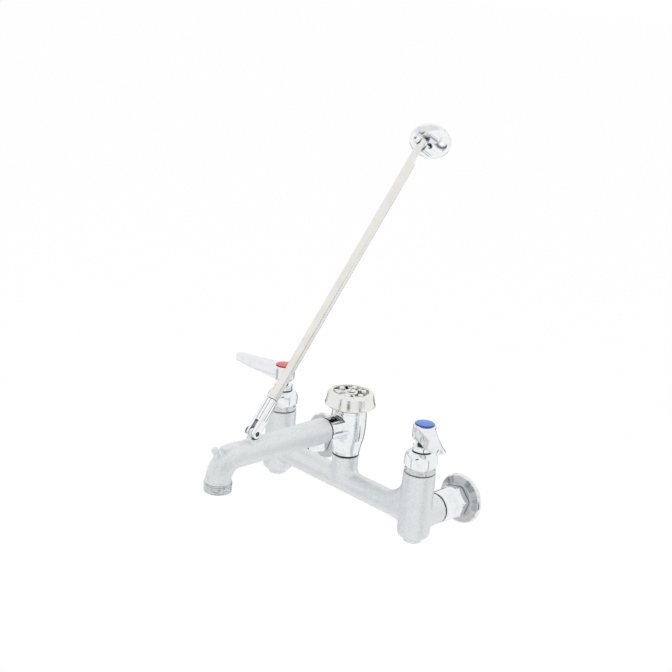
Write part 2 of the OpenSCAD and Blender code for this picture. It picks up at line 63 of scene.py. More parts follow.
class Link:
    """An output socket that can be used in Python arithmetic."""

    def __init__(self, graph: "Graph", socket: bpy.types.NodeSocket) -> None:
        """Keeps the graph and the socket."""
        self.graph = graph
        self.socket = socket

    def _maths(self, operation: str, first: Any, second: Any) -> "Link":
        """One Math node on two values or links."""
        return self.graph.add("ShaderNodeMath", {"operation": operation}, {0: first, 1: second})

    def __add__(self, other: Any) -> "Link":
        """Sum."""
        return self._maths("ADD", self, other)

    def __radd__(self, other: Any) -> "Link":
        """Sum, reflected."""
        return self._maths("ADD", other, self)

    def __sub__(self, other: Any) -> "Link":
        """Difference."""
        return self._maths("SUBTRACT", self, other)

    def __rsub__(self, other: Any) -> "Link":
        """Difference, reflected."""
        return self._maths("SUBTRACT", other, self)

    def __mul__(self, other: Any) -> "Link":
        """Product."""
        return self._maths("MULTIPLY", self, other)

    def __rmul__(self, other: Any) -> "Link":
        """Product, reflected."""
        return self._maths("MULTIPLY", other, self)

    def ramp(self, low: float, high: float) -> "Link":
        """Smooth step from 0 at low to 1 at high.

        Args:
            low: the value that gives 0.
            high: the value that gives 1.

        Returns:
            The stepped value.
        """
        return self.graph.add(
            "ShaderNodeMapRange",
            {"interpolation_type": "SMOOTHSTEP"},
            {"Value": self, "From Min": low, "From Max": high},
        )


class Graph:
    """The node tree of one material or of the world."""

    EVEN: ClassVar[Triple] = (1.0, 1.0, 1.0)
    OPEN_SHARE: ClassVar[Point] = (0.3, 0.92)
    CORNER_RAYS: ClassVar[int] = 8
    EDGE_RAYS: ClassVar[int] = 4

    def __init__(self, name: str, tree: bpy.types.NodeTree | None = None) -> None:
        """Makes the material, or takes over a world's tree.

        Args:
            name: the material's name.
            tree: the world's node tree, if it isn't for a material.
        """
        world = tree is not None
        if not world:
            self.material = bpy.data.materials.new(name)
            self.material.use_nodes = True
            tree = self.material.node_tree
        self.tree = tree
        self.tree.nodes.clear()
        self.end = self.node("ShaderNodeOutputWorld" if world else "ShaderNodeOutputMaterial")
        if not world:
            self.shader = self.node("ShaderNodeBsdfPrincipled")
            self.finish(Link(self, self.shader.outputs["BSDF"]))

    def finish(self, surface: Link) -> None:
        """Links a shader to the output."""
        self.put(self.end.inputs["Surface"], surface)

    def put(self, socket: bpy.types.NodeSocket, value: Any) -> None:
        """Links a value into a socket, or sets the socket's own number or colour.

        Args:
            socket: the input to fill.
            value: a Link, a number or a colour.
        """
        if isinstance(value, Link):
            self.tree.links.new(value.socket, socket)
        elif isinstance(value, tuple) and socket.type == "RGBA":
            socket.default_value = (*value, 1.0)
        else:
            socket.default_value = value

    def node(
        self,
        kind: str,
        settings: dict[str, Any] | None = None,
        sockets: dict[Any, Any] | None = None,
    ) -> bpy.types.Node:
        """Makes a node.

        Args:
            kind: the node's type.
            settings: its settings, set before its sockets.
            sockets: values or links by socket name or number.

        Returns:
            The node.
        """
        node = self.tree.nodes.new(kind)
        for key, value in (settings or {}).items():
            setattr(node, key, value)
        for key, value in (sockets or {}).items():
            self.put(node.inputs[key], value)
        return node

    def add(
        self,
        kind: str,
        settings: dict[str, Any] | None = None,
        sockets: dict[Any, Any] | None = None,
        output: Any = 0,
    ) -> Link:
        """Makes a node and gives one of its outputs.

        Args:
            kind: the node's type.
            settings: its settings, set before its sockets.
            sockets: values or links by socket name or number.
            output: the output to return.

        Returns:
            The chosen output.
        """
        return Link(self, self.node(kind, settings, sockets).outputs[output])

    def place(self, stretch: Triple = EVEN, tilt: float = 0.0) -> Link:
        """Position on the piece, in metres.

        Args:
            stretch: scale of each axis.
            tilt: turn about X in degrees, made before the stretch.

        Returns:
            The position.
        """
        spot = self.add("ShaderNodeTexCoord", output="Object")
        if tilt:
            turned = (math.radians(tilt), 0.0, 0.0)
            spot = self.add("ShaderNodeMapping", None, {"Vector": spot, "Rotation": turned})
        if stretch == self.EVEN:
            return spot
        return self.add("ShaderNodeMapping", None, {"Vector": spot, "Scale": stretch})

    def along(self, axis: str) -> Link:
        """Position along X, Y or Z, in millimetres."""
        spot = self.place()
        return self.add("ShaderNodeSeparateXYZ", None, {"Vector": spot}, axis) * (1 / MM)

    def noise(
        self, size: float, detail: float = 2.0, stretch: Triple = EVEN, tilt: float = 0.0
    ) -> Link:
        """Cloudy noise between 0 and 1.

        Args:
            size: width of its features in millimetres.
            detail: number of finer layers.
            stretch: scale of each axis.
            tilt: turn about X in degrees, made before the stretch.

        Returns:
            The noise value.
        """
        sockets = {"Vector": self.place(stretch, tilt), "Scale": 1 / (size * MM), "Detail": detail}
        return self.add("ShaderNodeTexNoise", None, sockets)

    def grain(self, size: float) -> Link:
        """Cellular distance between 0 and about 1, for a cell's width in millimetres."""
        sockets = {"Vector": self.place(), "Scale": 1 / (size * MM)}
        return self.add("ShaderNodeTexVoronoi", None, sockets)

    def corner_shade(self, reach: float) -> Link:
        """Painted shade mask: 1 in tight corners and 0 on open faces, over a reach in millimetres.
        """
        rays, span = {"samples": self.CORNER_RAYS}, {"Distance": reach * MM}
        return 1 - self.add("ShaderNodeAmbientOcclusion", rays, span, "AO").ramp(*self.OPEN_SHARE)

    def blend(self, share: Any, low: Any, high: Any) -> Link:
        """Mixes two colours.

        Args:
            share: weight of the second colour.
            low: the first colour.
            high: the second colour.

        Returns:
            The mixed colour.
        """
        first, second, mixed = 6, 7, 2
        sockets = {"Factor": share, first: low, second: high}
        return self.add("ShaderNodeMix", {"data_type": "RGBA"}, sockets, mixed)

    def relief(self, height: Link, depth: float, strength: float, edge: float = 0.0) -> None:
        """Feeds a height to the surface's normal.

        Args:
            height: the height, 0 to 1.
            depth: its full depth in millimetres.
            strength: share of the relief that shows.
            edge: radius of softened edges in millimetres, or 0 for none.
        """
        sockets = {"Height": height, "Distance": depth * MM, "Strength": strength}
        if edge > 0:
            rays = {"samples": self.EDGE_RAYS}
            sockets["Normal"] = self.add("ShaderNodeBevel", rays, {"Radius": edge * MM})
        self.put(self.shader.inputs["Normal"], self.add("ShaderNodeBump", None, sockets))

    def surface(self, **values: Any) -> None:
        """Fills the surface shader's sockets.

        Args:
            **values: a value or link by socket name, with underscores for spaces.
        """
        for key, value in values.items():
            self.put(self.shader.inputs[key.replace("_", " ")], value)


# ---- Finishes ----


class Slot(Enum):
    """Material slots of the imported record."""

    SATIN = "satin_chrome"
    CHROME = "chrome"
    NICKEL = "nickel"
    BRASS = "brass"
    RUBBER = "black_rubber"
    FIBRE = "fibre"
    STEEL = "dark_steel"
    RED = "red_plastic"
    BLUE = "blue_plastic"


@dataclass(frozen=True)
class Finish:
    """A finish: its slot, and its material's name where that isn't the slot's."""

    slot: Slot
    name: str = ""
    _made: ClassVar[dict[str, bpy.types.Material]] = {}

    @property
    def label(self) -> str:
        """The material's name."""
        return self.name or self.slot.value

    def dress(self, graph: Graph) -> None:
        """Fills a material's nodes, in the way of each finish."""
        raise NotImplementedError

    def paint(self, piece: Piece) -> None:
        """Makes this the only finish of a piece, in a material that all its pieces share.

        Args:
            piece: the piece.
        """
        if self.label not in self._made:
            graph = Graph(self.label)
            self.dress(graph)
            self._made[self.label] = graph.material
        piece.data.materials.clear()
        piece.data.materials.append(self._made[self.label])


@dataclass(frozen=True)
class SatinChrome(Finish):
    """Chrome over a tumbled casting: soft, with a fine skin and painted shade in tight corners."""

    slot: Slot = Slot.SATIN
    tint: Triple = (0.685, 0.712, 0.722)
    shade: Triple = (0.885, 0.912, 0.922)
    # Colour of the painted shade in tight corners.
    corner: Triple = (0.2, 0.205, 0.21)
    cloud_size: float = 11.0
    mottle_size: float = 1.7
    skin_size: float = 0.6
    pit_size: float = 1.1

    def dress(self, graph: Graph) -> None:
        """Fills a material's nodes.

        Args:
            graph: the material's graph.
        """
        cloud = graph.noise(self.cloud_size)
        mottle = graph.noise(self.mottle_size, 3.0).ramp(0.3, 0.7)
        skin = graph.noise(self.skin_size, 3.0)
        pits = graph.grain(self.pit_size).ramp(0.0, 0.45)
        metal = graph.blend(cloud * 0.25 + mottle * 0.45 + skin * 0.3, self.tint, self.shade)
        graph.surface(
            # Painted shade: tight corners darken towards the corner colour.
            Base_Color=graph.blend(graph.corner_shade(1.6) * 0.55, metal, self.corner),
            Metallic=1.0,
            Roughness=0.42 + 0.18 * (skin * 0.6 + mottle * 0.4),
        )
        graph.relief(skin * 0.6 + pits * 0.2 + mottle * 0.2, 0.05, 0.4)


@dataclass(frozen=True)
class PolishedChrome(Finish):
    """Bright chrome with faint wiping marks, painted shade in tight corners, and a band of painted
    shade along a stretch of an axis.
    """

    slot: Slot = Slot.CHROME
    tint: Triple = (0.86, 0.88, 0.895)
    shade: Triple = (0.78, 0.80, 0.815)
    # Colour of the band of painted shade.
    dirt: Triple = (0.3, 0.31, 0.32)
    # Colour of the painted shade in tight corners.
    dark: Triple = (0.1, 0.102, 0.107)
    wiped: Triple = (1.0, 1.0, 0.16)
    edge: float = 0.25
    # Span of the band of painted shade along the axis, or None for no band.
    shade_band: Point | None = None
    axis: str = "Z"
    start: float = 0.5
    fade: float = 1.6
    # Strength of the band of painted shade.
    film: float = 0.35
    # How far the painted shade in tight corners reaches, and its strength.
    reach: float = 2.6
    corner: float = 0.85

    def dress(self, graph: Graph) -> None:
        """Fills a material's nodes.

        Args:
            graph: the material's graph.
        """
        haze = graph.noise(6.0).ramp(0.4, 0.75)
        wipes = graph.noise(1.4, 4.0, self.wiped).ramp(0.5, 0.8)
        colour = graph.blend(haze, self.tint, self.shade)
        # A band of painted shade along the axis, fading in and out at its ends.
        if self.shade_band:
            low, high = self.shade_band
            spot = graph.along(self.axis)
            film = spot.ramp(low - self.start, low + self.start)
            film = film * (1 - spot.ramp(high - self.fade, high))
            colour = graph.blend(film * self.film, colour, self.dirt)
        graph.surface(
            # Painted shade in tight corners.
            Base_Color=graph.blend(graph.corner_shade(self.reach) * self.corner, colour, self.dark),
            Metallic=1.0,
            Roughness=0.045 + 0.05 * haze + 0.04 * wipes,
        )
        graph.relief(wipes, 0.01, 0.12, self.edge)


@dataclass(frozen=True)
class WarmNickel(Finish):
    """Nickel with a drawn grain that runs along one line, and painted shade in tight corners."""

    slot: Slot = Slot.NICKEL
    tint: Triple = (0.845, 0.845, 0.815)
    shade: Triple = (0.75, 0.745, 0.705)
    # Colour of the painted shade in tight corners.
    dark: Triple = (0.13, 0.125, 0.11)
    drawn: Triple = (1.0, 1.0, 0.05)
    rough: float = 0.1
    tilt: float = 0.0
    grain: float = 0.4

    def dress(self, graph: Graph) -> None:
        """Fills a material's nodes.

        Args:
            graph: the material's graph.
        """
        lines = graph.noise(0.5, 3.0, self.drawn, self.tilt)
        cloud = graph.noise(14.0).ramp(0.35, 0.7)
        metal = graph.blend(cloud * 0.5 + lines * self.grain, self.tint, self.shade)
        graph.surface(
            # Painted shade in tight corners.
            Base_Color=graph.blend(graph.corner_shade(2.4) * 0.8, metal, self.dark),
            Metallic=1.0,
            Roughness=self.rough + 0.12 * lines,
        )
        graph.relief(lines, 0.01 * self.grain, 0.2, 0.2)


@dataclass(frozen=True)
class CutBrass(Finish):
    """Machined brass, a little dulled."""

    slot: Slot = Slot.BRASS
    tint: Triple = (0.78, 0.61, 0.33)
    shade: Triple = (0.52, 0.38, 0.19)
    cut: Triple = (0.1, 0.1, 1.0)

    def dress(self, graph: Graph) -> None:
        """Fills a material's nodes.

        Args:
            graph: the material's graph.
        """
        turning = graph.noise(0.5, 2.0, self.cut)
        stain = graph.noise(3.5, 3.0).ramp(0.45, 0.75)
        graph.surface(
            Base_Color=graph.blend(stain, self.tint, self.shade),
            Metallic=1.0,
            Roughness=0.24 + 0.2 * stain + 0.1 * turning,
        )
        graph.relief(turning, 0.02, 0.3, 0.15)


@dataclass(frozen=True)
class DarkSteel(Finish):
    """Blackened steel of small screws and the valve stems, dark partly in its own colour and partly
    as painted shade for the sockets and gaps where it shows.
    """

    slot: Slot = Slot.STEEL
    tint: Triple = (0.13, 0.128, 0.125)
    shade: Triple = (0.045, 0.044, 0.043)

    def dress(self, graph: Graph) -> None:
        """Fills a material's nodes.

        Args:
            graph: the material's graph.
        """
        wear = graph.noise(1.6, 3.0).ramp(0.4, 0.7)
        graph.surface(
            Base_Color=graph.blend(wear, self.tint, self.shade),
            Metallic=1.0,
            Roughness=0.28 + 0.22 * wear,
        )
        graph.relief(wear, 0.02, 0.3, 0.15)


@dataclass(frozen=True)
class Soft(Finish):
    """Rubber or pressed fibre."""

    slot: Slot = Slot.RUBBER
    tint: Triple = (0.022, 0.022, 0.024)
    shade: Triple = (0.05, 0.05, 0.053)
    rough: float = 0.55
    size: float = 0.5

    def dress(self, graph: Graph) -> None:
        """Fills a material's nodes.

        Args:
            graph: the material's graph.
        """
        dust = graph.noise(self.size, 4.0)
        graph.surface(
            Base_Color=graph.blend(dust, self.tint, self.shade), Roughness=self.rough + 0.2 * dust
        )
        graph.relief(dust, 0.03, 0.5)


@dataclass(frozen=True)
class Moulded(Finish):
    """Glossy moulded plastic of an index button, with painted shade down its wall."""

    slot: Slot = Slot.RED
    tint: Triple = (0.86, 0.085, 0.04)
    shade: Triple = (0.62, 0.04, 0.02)
    # Colour of the painted shade down the wall, and the heights it fades in over.
    wall: Triple = (0.25, 0.012, 0.008)
    wall_shade_span: Point = (99.3, 98.7)

    def dress(self, graph: Graph) -> None:
        """Fills a material's nodes.

        Args:
            graph: the material's graph.
        """
        flow = graph.noise(2.4, 3.0).ramp(0.35, 0.75)
        skin = graph.noise(0.3)
        body = graph.blend(flow * 0.5, self.tint, self.shade)
        graph.surface(
            # Painted shade: darker towards the bottom of the wall.
            Base_Color=graph.blend(graph.along("Z").ramp(*self.wall_shade_span), body, self.wall),
            Roughness=0.24 + 0.12 * skin,
            Coat_Weight=0.3,
            Coat_Roughness=0.12,
        )
        graph.relief(skin, 0.01, 0.25)


SATIN = SatinChrome()
CHROME = PolishedChrome()
# Bonnet chrome with a band of painted shade in the groove at the foot of the bell.
GROOVED_CHROME = PolishedChrome(name="grooved_chrome", shade_band=(49.4, 53.6))
# Wall flange chrome, darker as painted shade, with a band of painted shade over its sloped face.
FLANGE_CHROME = PolishedChrome(
    name="flange_chrome",
    tint=(0.84, 0.86, 0.875),
    shade=(0.62, 0.635, 0.645),
    shade_band=(-8.8, -4.4),
    axis="Y",
    fade=0.5,
    film=0.6,
)
# Chrome whose painted shade in corners reaches further.
DEEP_CHROME = PolishedChrome(
    name="deep_chrome", tint=(0.89, 0.905, 0.92), shade=(0.84, 0.855, 0.87), reach=4.0
)
# Hose-thread chrome with light painted shade in its grooves.
THREAD_CHROME = PolishedChrome(
    Slot.SATIN,
    "thread_chrome",
    tint=(0.64, 0.66, 0.665),
    shade=(0.52, 0.54, 0.545),
    reach=0.9,
    corner=0.3,
)
LEVER_CHROME = PolishedChrome(
    name="lever_chrome", tint=(0.83, 0.845, 0.86), shade=(0.77, 0.785, 0.80)
)
NICKEL = WarmNickel()
ROD_NICKEL = WarmNickel(
    name="rod_nickel",
    tint=(0.83, 0.82, 0.785),
    shade=(0.74, 0.73, 0.69),
    rough=0.2,
    tilt=37.0,
    grain=0.12,
)
BRASS = CutBrass()
STEEL = DarkSteel()
RUBBER = Soft()
FIBRE = Soft(Slot.FIBRE, tint=(0.16, 0.15, 0.14), shade=(0.26, 0.25, 0.235), rough=0.7, size=0.4)
RED = Moulded()
# The blue button, with its own colour of painted shade down the wall.
BLUE = Moulded(
    Slot.BLUE, tint=(0.045, 0.235, 0.86), shade=(0.02, 0.13, 0.66), wall=(0.006, 0.04, 0.26)
)


def fit(piece: Piece, node: str, finish: Finish, body: str = HOUSING) -> None:
    """Dresses a new piece, which takes a node's place on a body.

    Args:
        piece: the piece.
        node: the node whose place it takes.
        finish: its finish.
        body: the body it rides on.
    """
    finish.paint(piece)
    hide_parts(node)
    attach(piece, body)
    log.info("%s: %s in %s, on %s", node, piece.name, finish.label, body)


def keep(finishes: dict[str, Finish], prefix: str = "") -> None:
    """Dresses kept nodes.

    Args:
        finishes: the finish of each node.
        prefix: what each node's name starts with.
    """
    for node, finish in finishes.items():
        finish.paint(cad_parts[prefix + node])
        log.info("%s%s: kept, in %s", prefix, node, finish.label)


# ---- Profiles and sections ----


def soft_min(a: float, b: float, blend: float) -> float:
    """Smaller of two lengths, with the corner between them rounded.

    Args:
        a: first length.
        b: second length.
        blend: width of the rounding.

    Returns:
        The rounded minimum.
    """
    gap = max(blend - abs(a - b), 0.0) / blend
    return min(a, b) - gap * gap * blend / 4


@dataclass(frozen=True)
class Hexagon:
    """Six flats that cut a turned shape between two heights."""

    across: float
    turn: float
    low: float
    high: float
    blend: float

    def radius(self, angle: float) -> float:
        """Distance to the flats.

        Args:
            angle: direction in radians.

        Returns:
            The distance from the axis.
        """
        step = math.pi / 3
        off = abs((angle - math.radians(self.turn)) % step - step / 2)
        half = self.across / 2
        return soft_min(half / math.cos(off), half / math.cos(step - off), self.blend)

    def __call__(self, angle: float, radius: float, height: float) -> float:
        """Radius of the cut shape.

        Args:
            angle: direction in radians.
            radius: radius before the cut.
            height: height of the point.

        Returns:
            The radius after it.
        """
        if not self.low <= height <= self.high:
            return radius
        return soft_min(radius, self.radius(angle), self.blend)


def rounded(points: Sequence[Point], radius: float, steps: int = 3) -> list[Point]:
    """Rounds the corners of a profile.

    Args:
        points: corners in order; one on the axis is left sharp.
        radius: rounding radius in millimetres.
        steps: segments of each rounding.

    Returns:
        The rounded profile.
    """
    short, straight, most = 1e-6, math.radians(172), 0.45
    made: list[Point] = []
    for i, corner in enumerate(points):
        here = Vector(corner)
        before = Vector(points[i - 1]) - here
        after = Vector(points[(i + 1) % len(points)]) - here
        sharp = corner[0] == 0 or before.length < short or after.length < short
        if sharp or before.angle(after) > straight:
            made.append(corner)
            continue
        reach = radius / math.tan(before.angle(after) / 2)
        reach = min(reach, before.length * most, after.length * most)
        start, end = here + before.normalized() * reach, here + after.normalized() * reach
        for k in range(steps + 1):
            t = k / steps
            spot = start * (1 - t) ** 2 + here * 2 * t * (1 - t) + end * t**2
            made.append((spot.x, spot.y))
    return made


def filled(points: Sequence[Point], step: float) -> list[Point]:
    """Adds points to a closed profile so that none are further apart than a step.

    Args:
        points: the profile.
        step: the longest distance allowed, in millimetres.

    Returns:
        The profile with the points added.
    """
    made: list[Point] = []
    for i, here in enumerate(points):
        there = points[(i + 1) % len(points)]
        made.append(here)
        if here[0] == 0 and there[0] == 0:
            continue
        parts = max(1, math.ceil(math.dist(here, there) / step))
        for k in range(1, parts):
            t = k / parts
            made.append((here[0] + (there[0] - here[0]) * t, here[1] + (there[1] - here[1]) * t))
    return made


def arc(cx: float, cy: float, r: float, start: float, end: float, steps: int) -> list[Point]:
    """Points of an arc in a profile.

    Args:
        cx: centre's radius.
        cy: centre's height.
        r: radius of the arc.
        start: first angle in degrees.
        end: last angle in degrees.
        steps: number of segments.

    Returns:
        The points, both ends included.
    """
    angles = [math.radians(start + (end - start) * k / steps) for k in range(steps + 1)]
    return [(cx + r * math.cos(a), cy + r * math.sin(a)) for a in angles]


def oblong(x: float, y: float) -> list[Point]:
    """Corners of a rectangle from its half sizes."""
    return [(x, -y), (x, y), (-x, y), (-x, -y)]


def mirrored(half: Sequence[Point]) -> list[Point]:
    """A half section with its mirror image."""
    return [*half, *[(-y, z) for y, z in reversed(half)]]


def layer(outline: Sequence[Point], height: float, inset: float = 0.0) -> list[Triple]:
    """A section at a height, drawn in by an inset."""
    inward = math.copysign
    return [(x - inward(inset, x), y - inward(inset, y), height) for x, y in outline]


def drift(pair: Point, share: float) -> float:
    """A start value plus its change times a share."""
    return pair[0] + pair[1] * share


def lofted(rings: Sequence[Sequence[Triple]], capped: bool) -> tuple[list[Triple], list[Face]]:
    """Skins rings that have the same number of points.

    Args:
        rings: rings of points.
        capped: closes the first and last ring with a fan; otherwise the last joins the first.

    Returns:
        Vertices and faces.
    """
    size, last = len(rings[0]), len(rings) - 1
    points = [p for ring in rings for p in ring]
    faces: list[Face] = []
    for k in range(last if capped else last + 1):
        a, b = k * size, (k + 1) % len(rings) * size
        for i in range(size):
            j = (i + 1) % size
            faces.append((a + i, a + j, b + j, b + i))
    for k in (0, last) if capped else ():
        points.append(tuple(sum(p[axis] for p in rings[k]) / size for axis in range(3)))
        hub, a = len(points) - 1, k * size
        for i in range(size):
            j = (i + 1) % size
            faces.append((hub, a + j, a + i) if k == 0 else (hub, a + i, a + j))
    return points, faces


# ---- Mesh making ----


def placed(name: str, data: bpy.types.ID) -> Piece:
    """Puts a new object in the scene.

    Args:
        name: the object's name.
        data: its mesh, lamp or camera.

    Returns:
        The object.
    """
    made = bpy.data.objects.new(name, data)
    bpy.context.scene.collection.objects.link(made)
    return made


class Forge:
    """Makes objects from points, cuts and joins them, and finishes their shading."""

    @staticmethod
    def piece(
        name: str, skin: tuple[Sequence[Triple], Sequence[Face]], place: Matrix
    ) -> Piece:
        """Makes a mesh object.

        Args:
            name: the object's name.
            skin: vertices in millimetres, and vertex numbers of each face.
            place: where the points go, in millimetres.

        Returns:
            The object, at the origin with its mesh in place.
        """
        points, faces = skin
        mesh = bpy.data.meshes.new(name)
        mesh.from_pydata([(place @ Vector(p)) * MM for p in points], [], faces)
        work = bmesh.new()
        work.from_mesh(mesh)
        bmesh.ops.remove_doubles(work, verts=work.verts, dist=1e-7)
        bmesh.ops.dissolve_degenerate(work, edges=work.edges, dist=1e-8)
        loose = [edge for edge in work.edges if not edge.link_faces]
        bmesh.ops.delete(work, geom=loose, context="EDGES")
        bmesh.ops.recalc_face_normals(work, faces=work.faces)
        work.to_mesh(mesh)
        work.free()
        return placed(name, mesh)

    @classmethod
    def turned(
        cls,
        name: str,
        profile: Sequence[Point],
        place: Matrix,
        segments: int = 96,
        limit: Limit | None = None,
    ) -> Piece:
        """Turns a closed profile about Z.

        Args:
            name: the object's name.
            profile: closed loop of radius and height in millimetres.
            place: where it goes, in millimetres.
            segments: number of steps round the axis.
            limit: gives the radius at an angle, radius and height.

        Returns:
            The object.
        """
        rings: list[list[Triple]] = []
        for k in range(segments):
            angle = 2 * math.pi * k / segments
            ring = []
            for radius, height in profile:
                r = limit(angle, radius, height) if limit else radius
                ring.append((r * math.cos(angle), r * math.sin(angle), height))
            rings.append(ring)
        return cls.piece(name, lofted(rings, False), place)

    @classmethod
    def pin(
        cls,
        name: str,
        radius: float,
        span: Point,
        place: Matrix,
        segments: int = 48,
        soft: float = 0.0,
    ) -> Piece:
        """Makes a round pin about Z, mostly to cut with.

        Args:
            name: the object's name.
            radius: its radius.
            span: its lower and upper end.
            place: where it goes.
            segments: number of steps round the axis.
            soft: rounding of its ends, or 0 for none.

        Returns:
            The object.
        """
        low, high = span
        profile = [(0.0, low), (radius, low), (radius, high), (0.0, high)]
        return cls.turned(name, rounded(profile, soft) if soft else profile, place, segments)

    @classmethod
    def block(
        cls, name: str, outline: Sequence[Point], span: Point, place: Matrix
    ) -> Piece:
        """Makes a block from one outline.

        Args:
            name: the object's name.
            outline: its section.
            span: its lower and upper end.
            place: where it goes.

        Returns:
            The object.
        """
        return cls.piece(name, lofted([layer(outline, height) for height in span], True), place)

    @staticmethod
    def settle(piece: Piece, angle: float = 38.0) -> Piece:
        """Applies the modifiers, and shades the mesh smooth with weighted normals.

        Args:
            piece: the object.
            angle: edges sharper than this many degrees stay crisp.

        Returns:
            The same object.
        """
        bpy.context.view_layer.update()
        ready = piece.evaluated_get(bpy.context.evaluated_depsgraph_get())
        mesh = bpy.data.meshes.new_from_object(ready)
        piece.modifiers.clear()
        piece.data = mesh
        mesh.shade_smooth()
        mesh.set_sharp_from_angle(angle=math.radians(angle))
        even = piece.modifiers.new("even_normals", "WEIGHTED_NORMAL")
        even.keep_sharp = True
        return piece

    @classmethod
    def carve(
        cls,
        piece: Piece,
        cuts: Sequence[Piece],
        joined: Sequence[Piece] = (),
        angle: float = 34.0,
    ) -> Piece:
        """Joins tools to a piece, cuts others out of it, settles it and removes the tools.

        Args:
            piece: the object to change.
            cuts: objects to cut away, after the joins.
            joined: objects to join.
            angle: edges sharper than this many degrees stay crisp.

        Returns:
            The same object.
        """
        for operation, tools in (("UNION", joined), ("DIFFERENCE", cuts)):
            for tool in tools:
                change = piece.modifiers.new(tool.name, "BOOLEAN")
                change.operation, change.object, change.solver = operation, tool, "EXACT"
        cls.settle(piece, angle)
        for tool in (*joined, *cuts):
            bpy.data.objects.remove(tool)
        return piece


def shift(x: float = 0.0, y: float = 0.0, z: float = 0.0) -> Matrix:
    """Moves by millimetres."""
    return Matrix.Translation((x, y, z))


def turn(degrees: float, axis: str) -> Matrix:
    """Turns by degrees about an axis."""
    return Matrix.Rotation(math.radians(degrees), 4, axis)


def blended(
    name: str,
    node: str,
    voxel: float,
    passes: int,
    weight: Callable[[Vector], float],
    extra: int,
) -> Piece:
    """Copies a cast node as one even skin with softened joins.

    Args:
        name: the new piece's name.
        node: the node to copy.
        voxel: size of the skin's cells in millimetres.
        passes: softening passes everywhere.
        weight: share of the extra softening at a point.
        extra: number of extra passes.

    Returns:
        The new piece.
    """
    piece = placed(name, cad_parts[node].data.copy())
    skin = piece.modifiers.new("skin", "REMESH")
    skin.mode = "VOXEL"
    skin.voxel_size = voxel * MM
    Forge.settle(piece, 60)
    piece.modifiers.clear()
    group = piece.vertex_groups.new(name="joins")
    for vertex in piece.data.vertices:
        share = weight(vertex.co / MM)
        if share > 0:
            group.add([vertex.index], share, "REPLACE")
    soft = piece.modifiers.new("soft", "SMOOTH")
    soft.factor, soft.iterations = 0.5, passes
    joins = piece.modifiers.new("joins", "SMOOTH")
    joins.factor, joins.iterations, joins.vertex_group = 0.6, extra, "joins"
    Forge.settle(piece, 180)
    piece.vertex_groups.clear()
    piece.modifiers.clear()
    return piece


# ---- Sub-assemblies ----


class Side(Enum):
    """The two supplies."""

    HOT = -1
    COLD = 1

    @property
    def prefix(self) -> str:
        """What the names of the side's nodes start with."""
        return self.name.lower() + "_"


@dataclass(frozen=True)
class Layout:
    """Sizes that several sub-assemblies share."""

    half: float = 101.6
    reach: float = 73.0
    outlet_y: float = 244.8
    outlet_z: float = 33.7

    def tower(self, side: Side) -> Matrix:
        """Frame of a valve tower's axis."""
        return shift(side.value * self.half, -self.reach)

    def supply(self, side: Side) -> Matrix:
        """Frame that runs from the wall to the room along a supply."""
        return shift(side.value * self.half) @ turn(90, "X")

    def middle(self) -> Matrix:
        """Frame of the middle post's axis."""
        return shift(0, -self.reach)


LAYOUT = Layout()


@dataclass
class Supply:
    """One wall supply: coupling nut, tailpiece, wall flange and washer."""

    side: Side
    pipe_r: float = 11.6
    collar_r: float = 15.9
    nut_across: float = 30.0
    nut_low: float = 8.8
    nut_r: float = 17.5
    nut_top: float = 18.3
    bore_r: float = 13.2
    washer_y: float = 41.6
    flange_r: float = 26.0
    flange_rim: float = 4.6
    flange_top: float = 8.6

    def nut(self) -> Piece:
        """Builds the coupling nut.

        Returns:
            The nut.
        """
        r, end, low, top = self.collar_r, self.washer_y, self.nut_low, self.nut_top
        profile = [
            (self.pipe_r, low), (16.6, low), (self.nut_r, 9.9), (self.nut_r, 16.2), (16.4, 17.9),
            (r, top), (r, end - 0.9), (r - 0.9, end), (self.bore_r, end), (self.bore_r, 15),
            (self.pipe_r, 14.6),
        ]
        flats = Hexagon(self.nut_across, 12, 8, top - 0.35, 0.6)
        place = LAYOUT.supply(self.side)
        shape = filled(rounded(profile, 0.5), 1.0)
        return Forge.turned(f"{self.side.prefix}nut_shell", shape, place, 180, flats)

    def flange(self) -> Piece:
        """Builds the wall flange.

        Returns:
            The flange.
        """
        r, top = self.flange_r, self.flange_top
        profile = [
            (23.5, 0), (r, 0), (r, 3.2), (25.2, self.flange_rim), (22.6, 5.15), (18.5, 6.3),
            (17.7, top), (self.pipe_r, top), (self.pipe_r, 6.4), (14.2, 6.4), (16.2, 4.4),
            (23.5, 1.4),
        ]
        place = LAYOUT.supply(self.side)
        return Forge.turned(f"{self.side.prefix}flange_plate", rounded(profile, 0.8, 4), place, 128)

    def build(self) -> None:
        """Builds and dresses the supply."""
        prefix = self.side.prefix
        fit(Forge.settle(self.nut()), f"{prefix}coupling_nut", CHROME)
        fit(Forge.settle(self.flange()), f"{prefix}wall_flange", FLANGE_CHROME)
        keep({"inlet_tailpiece": BRASS, "coupling_washer": RUBBER}, prefix)


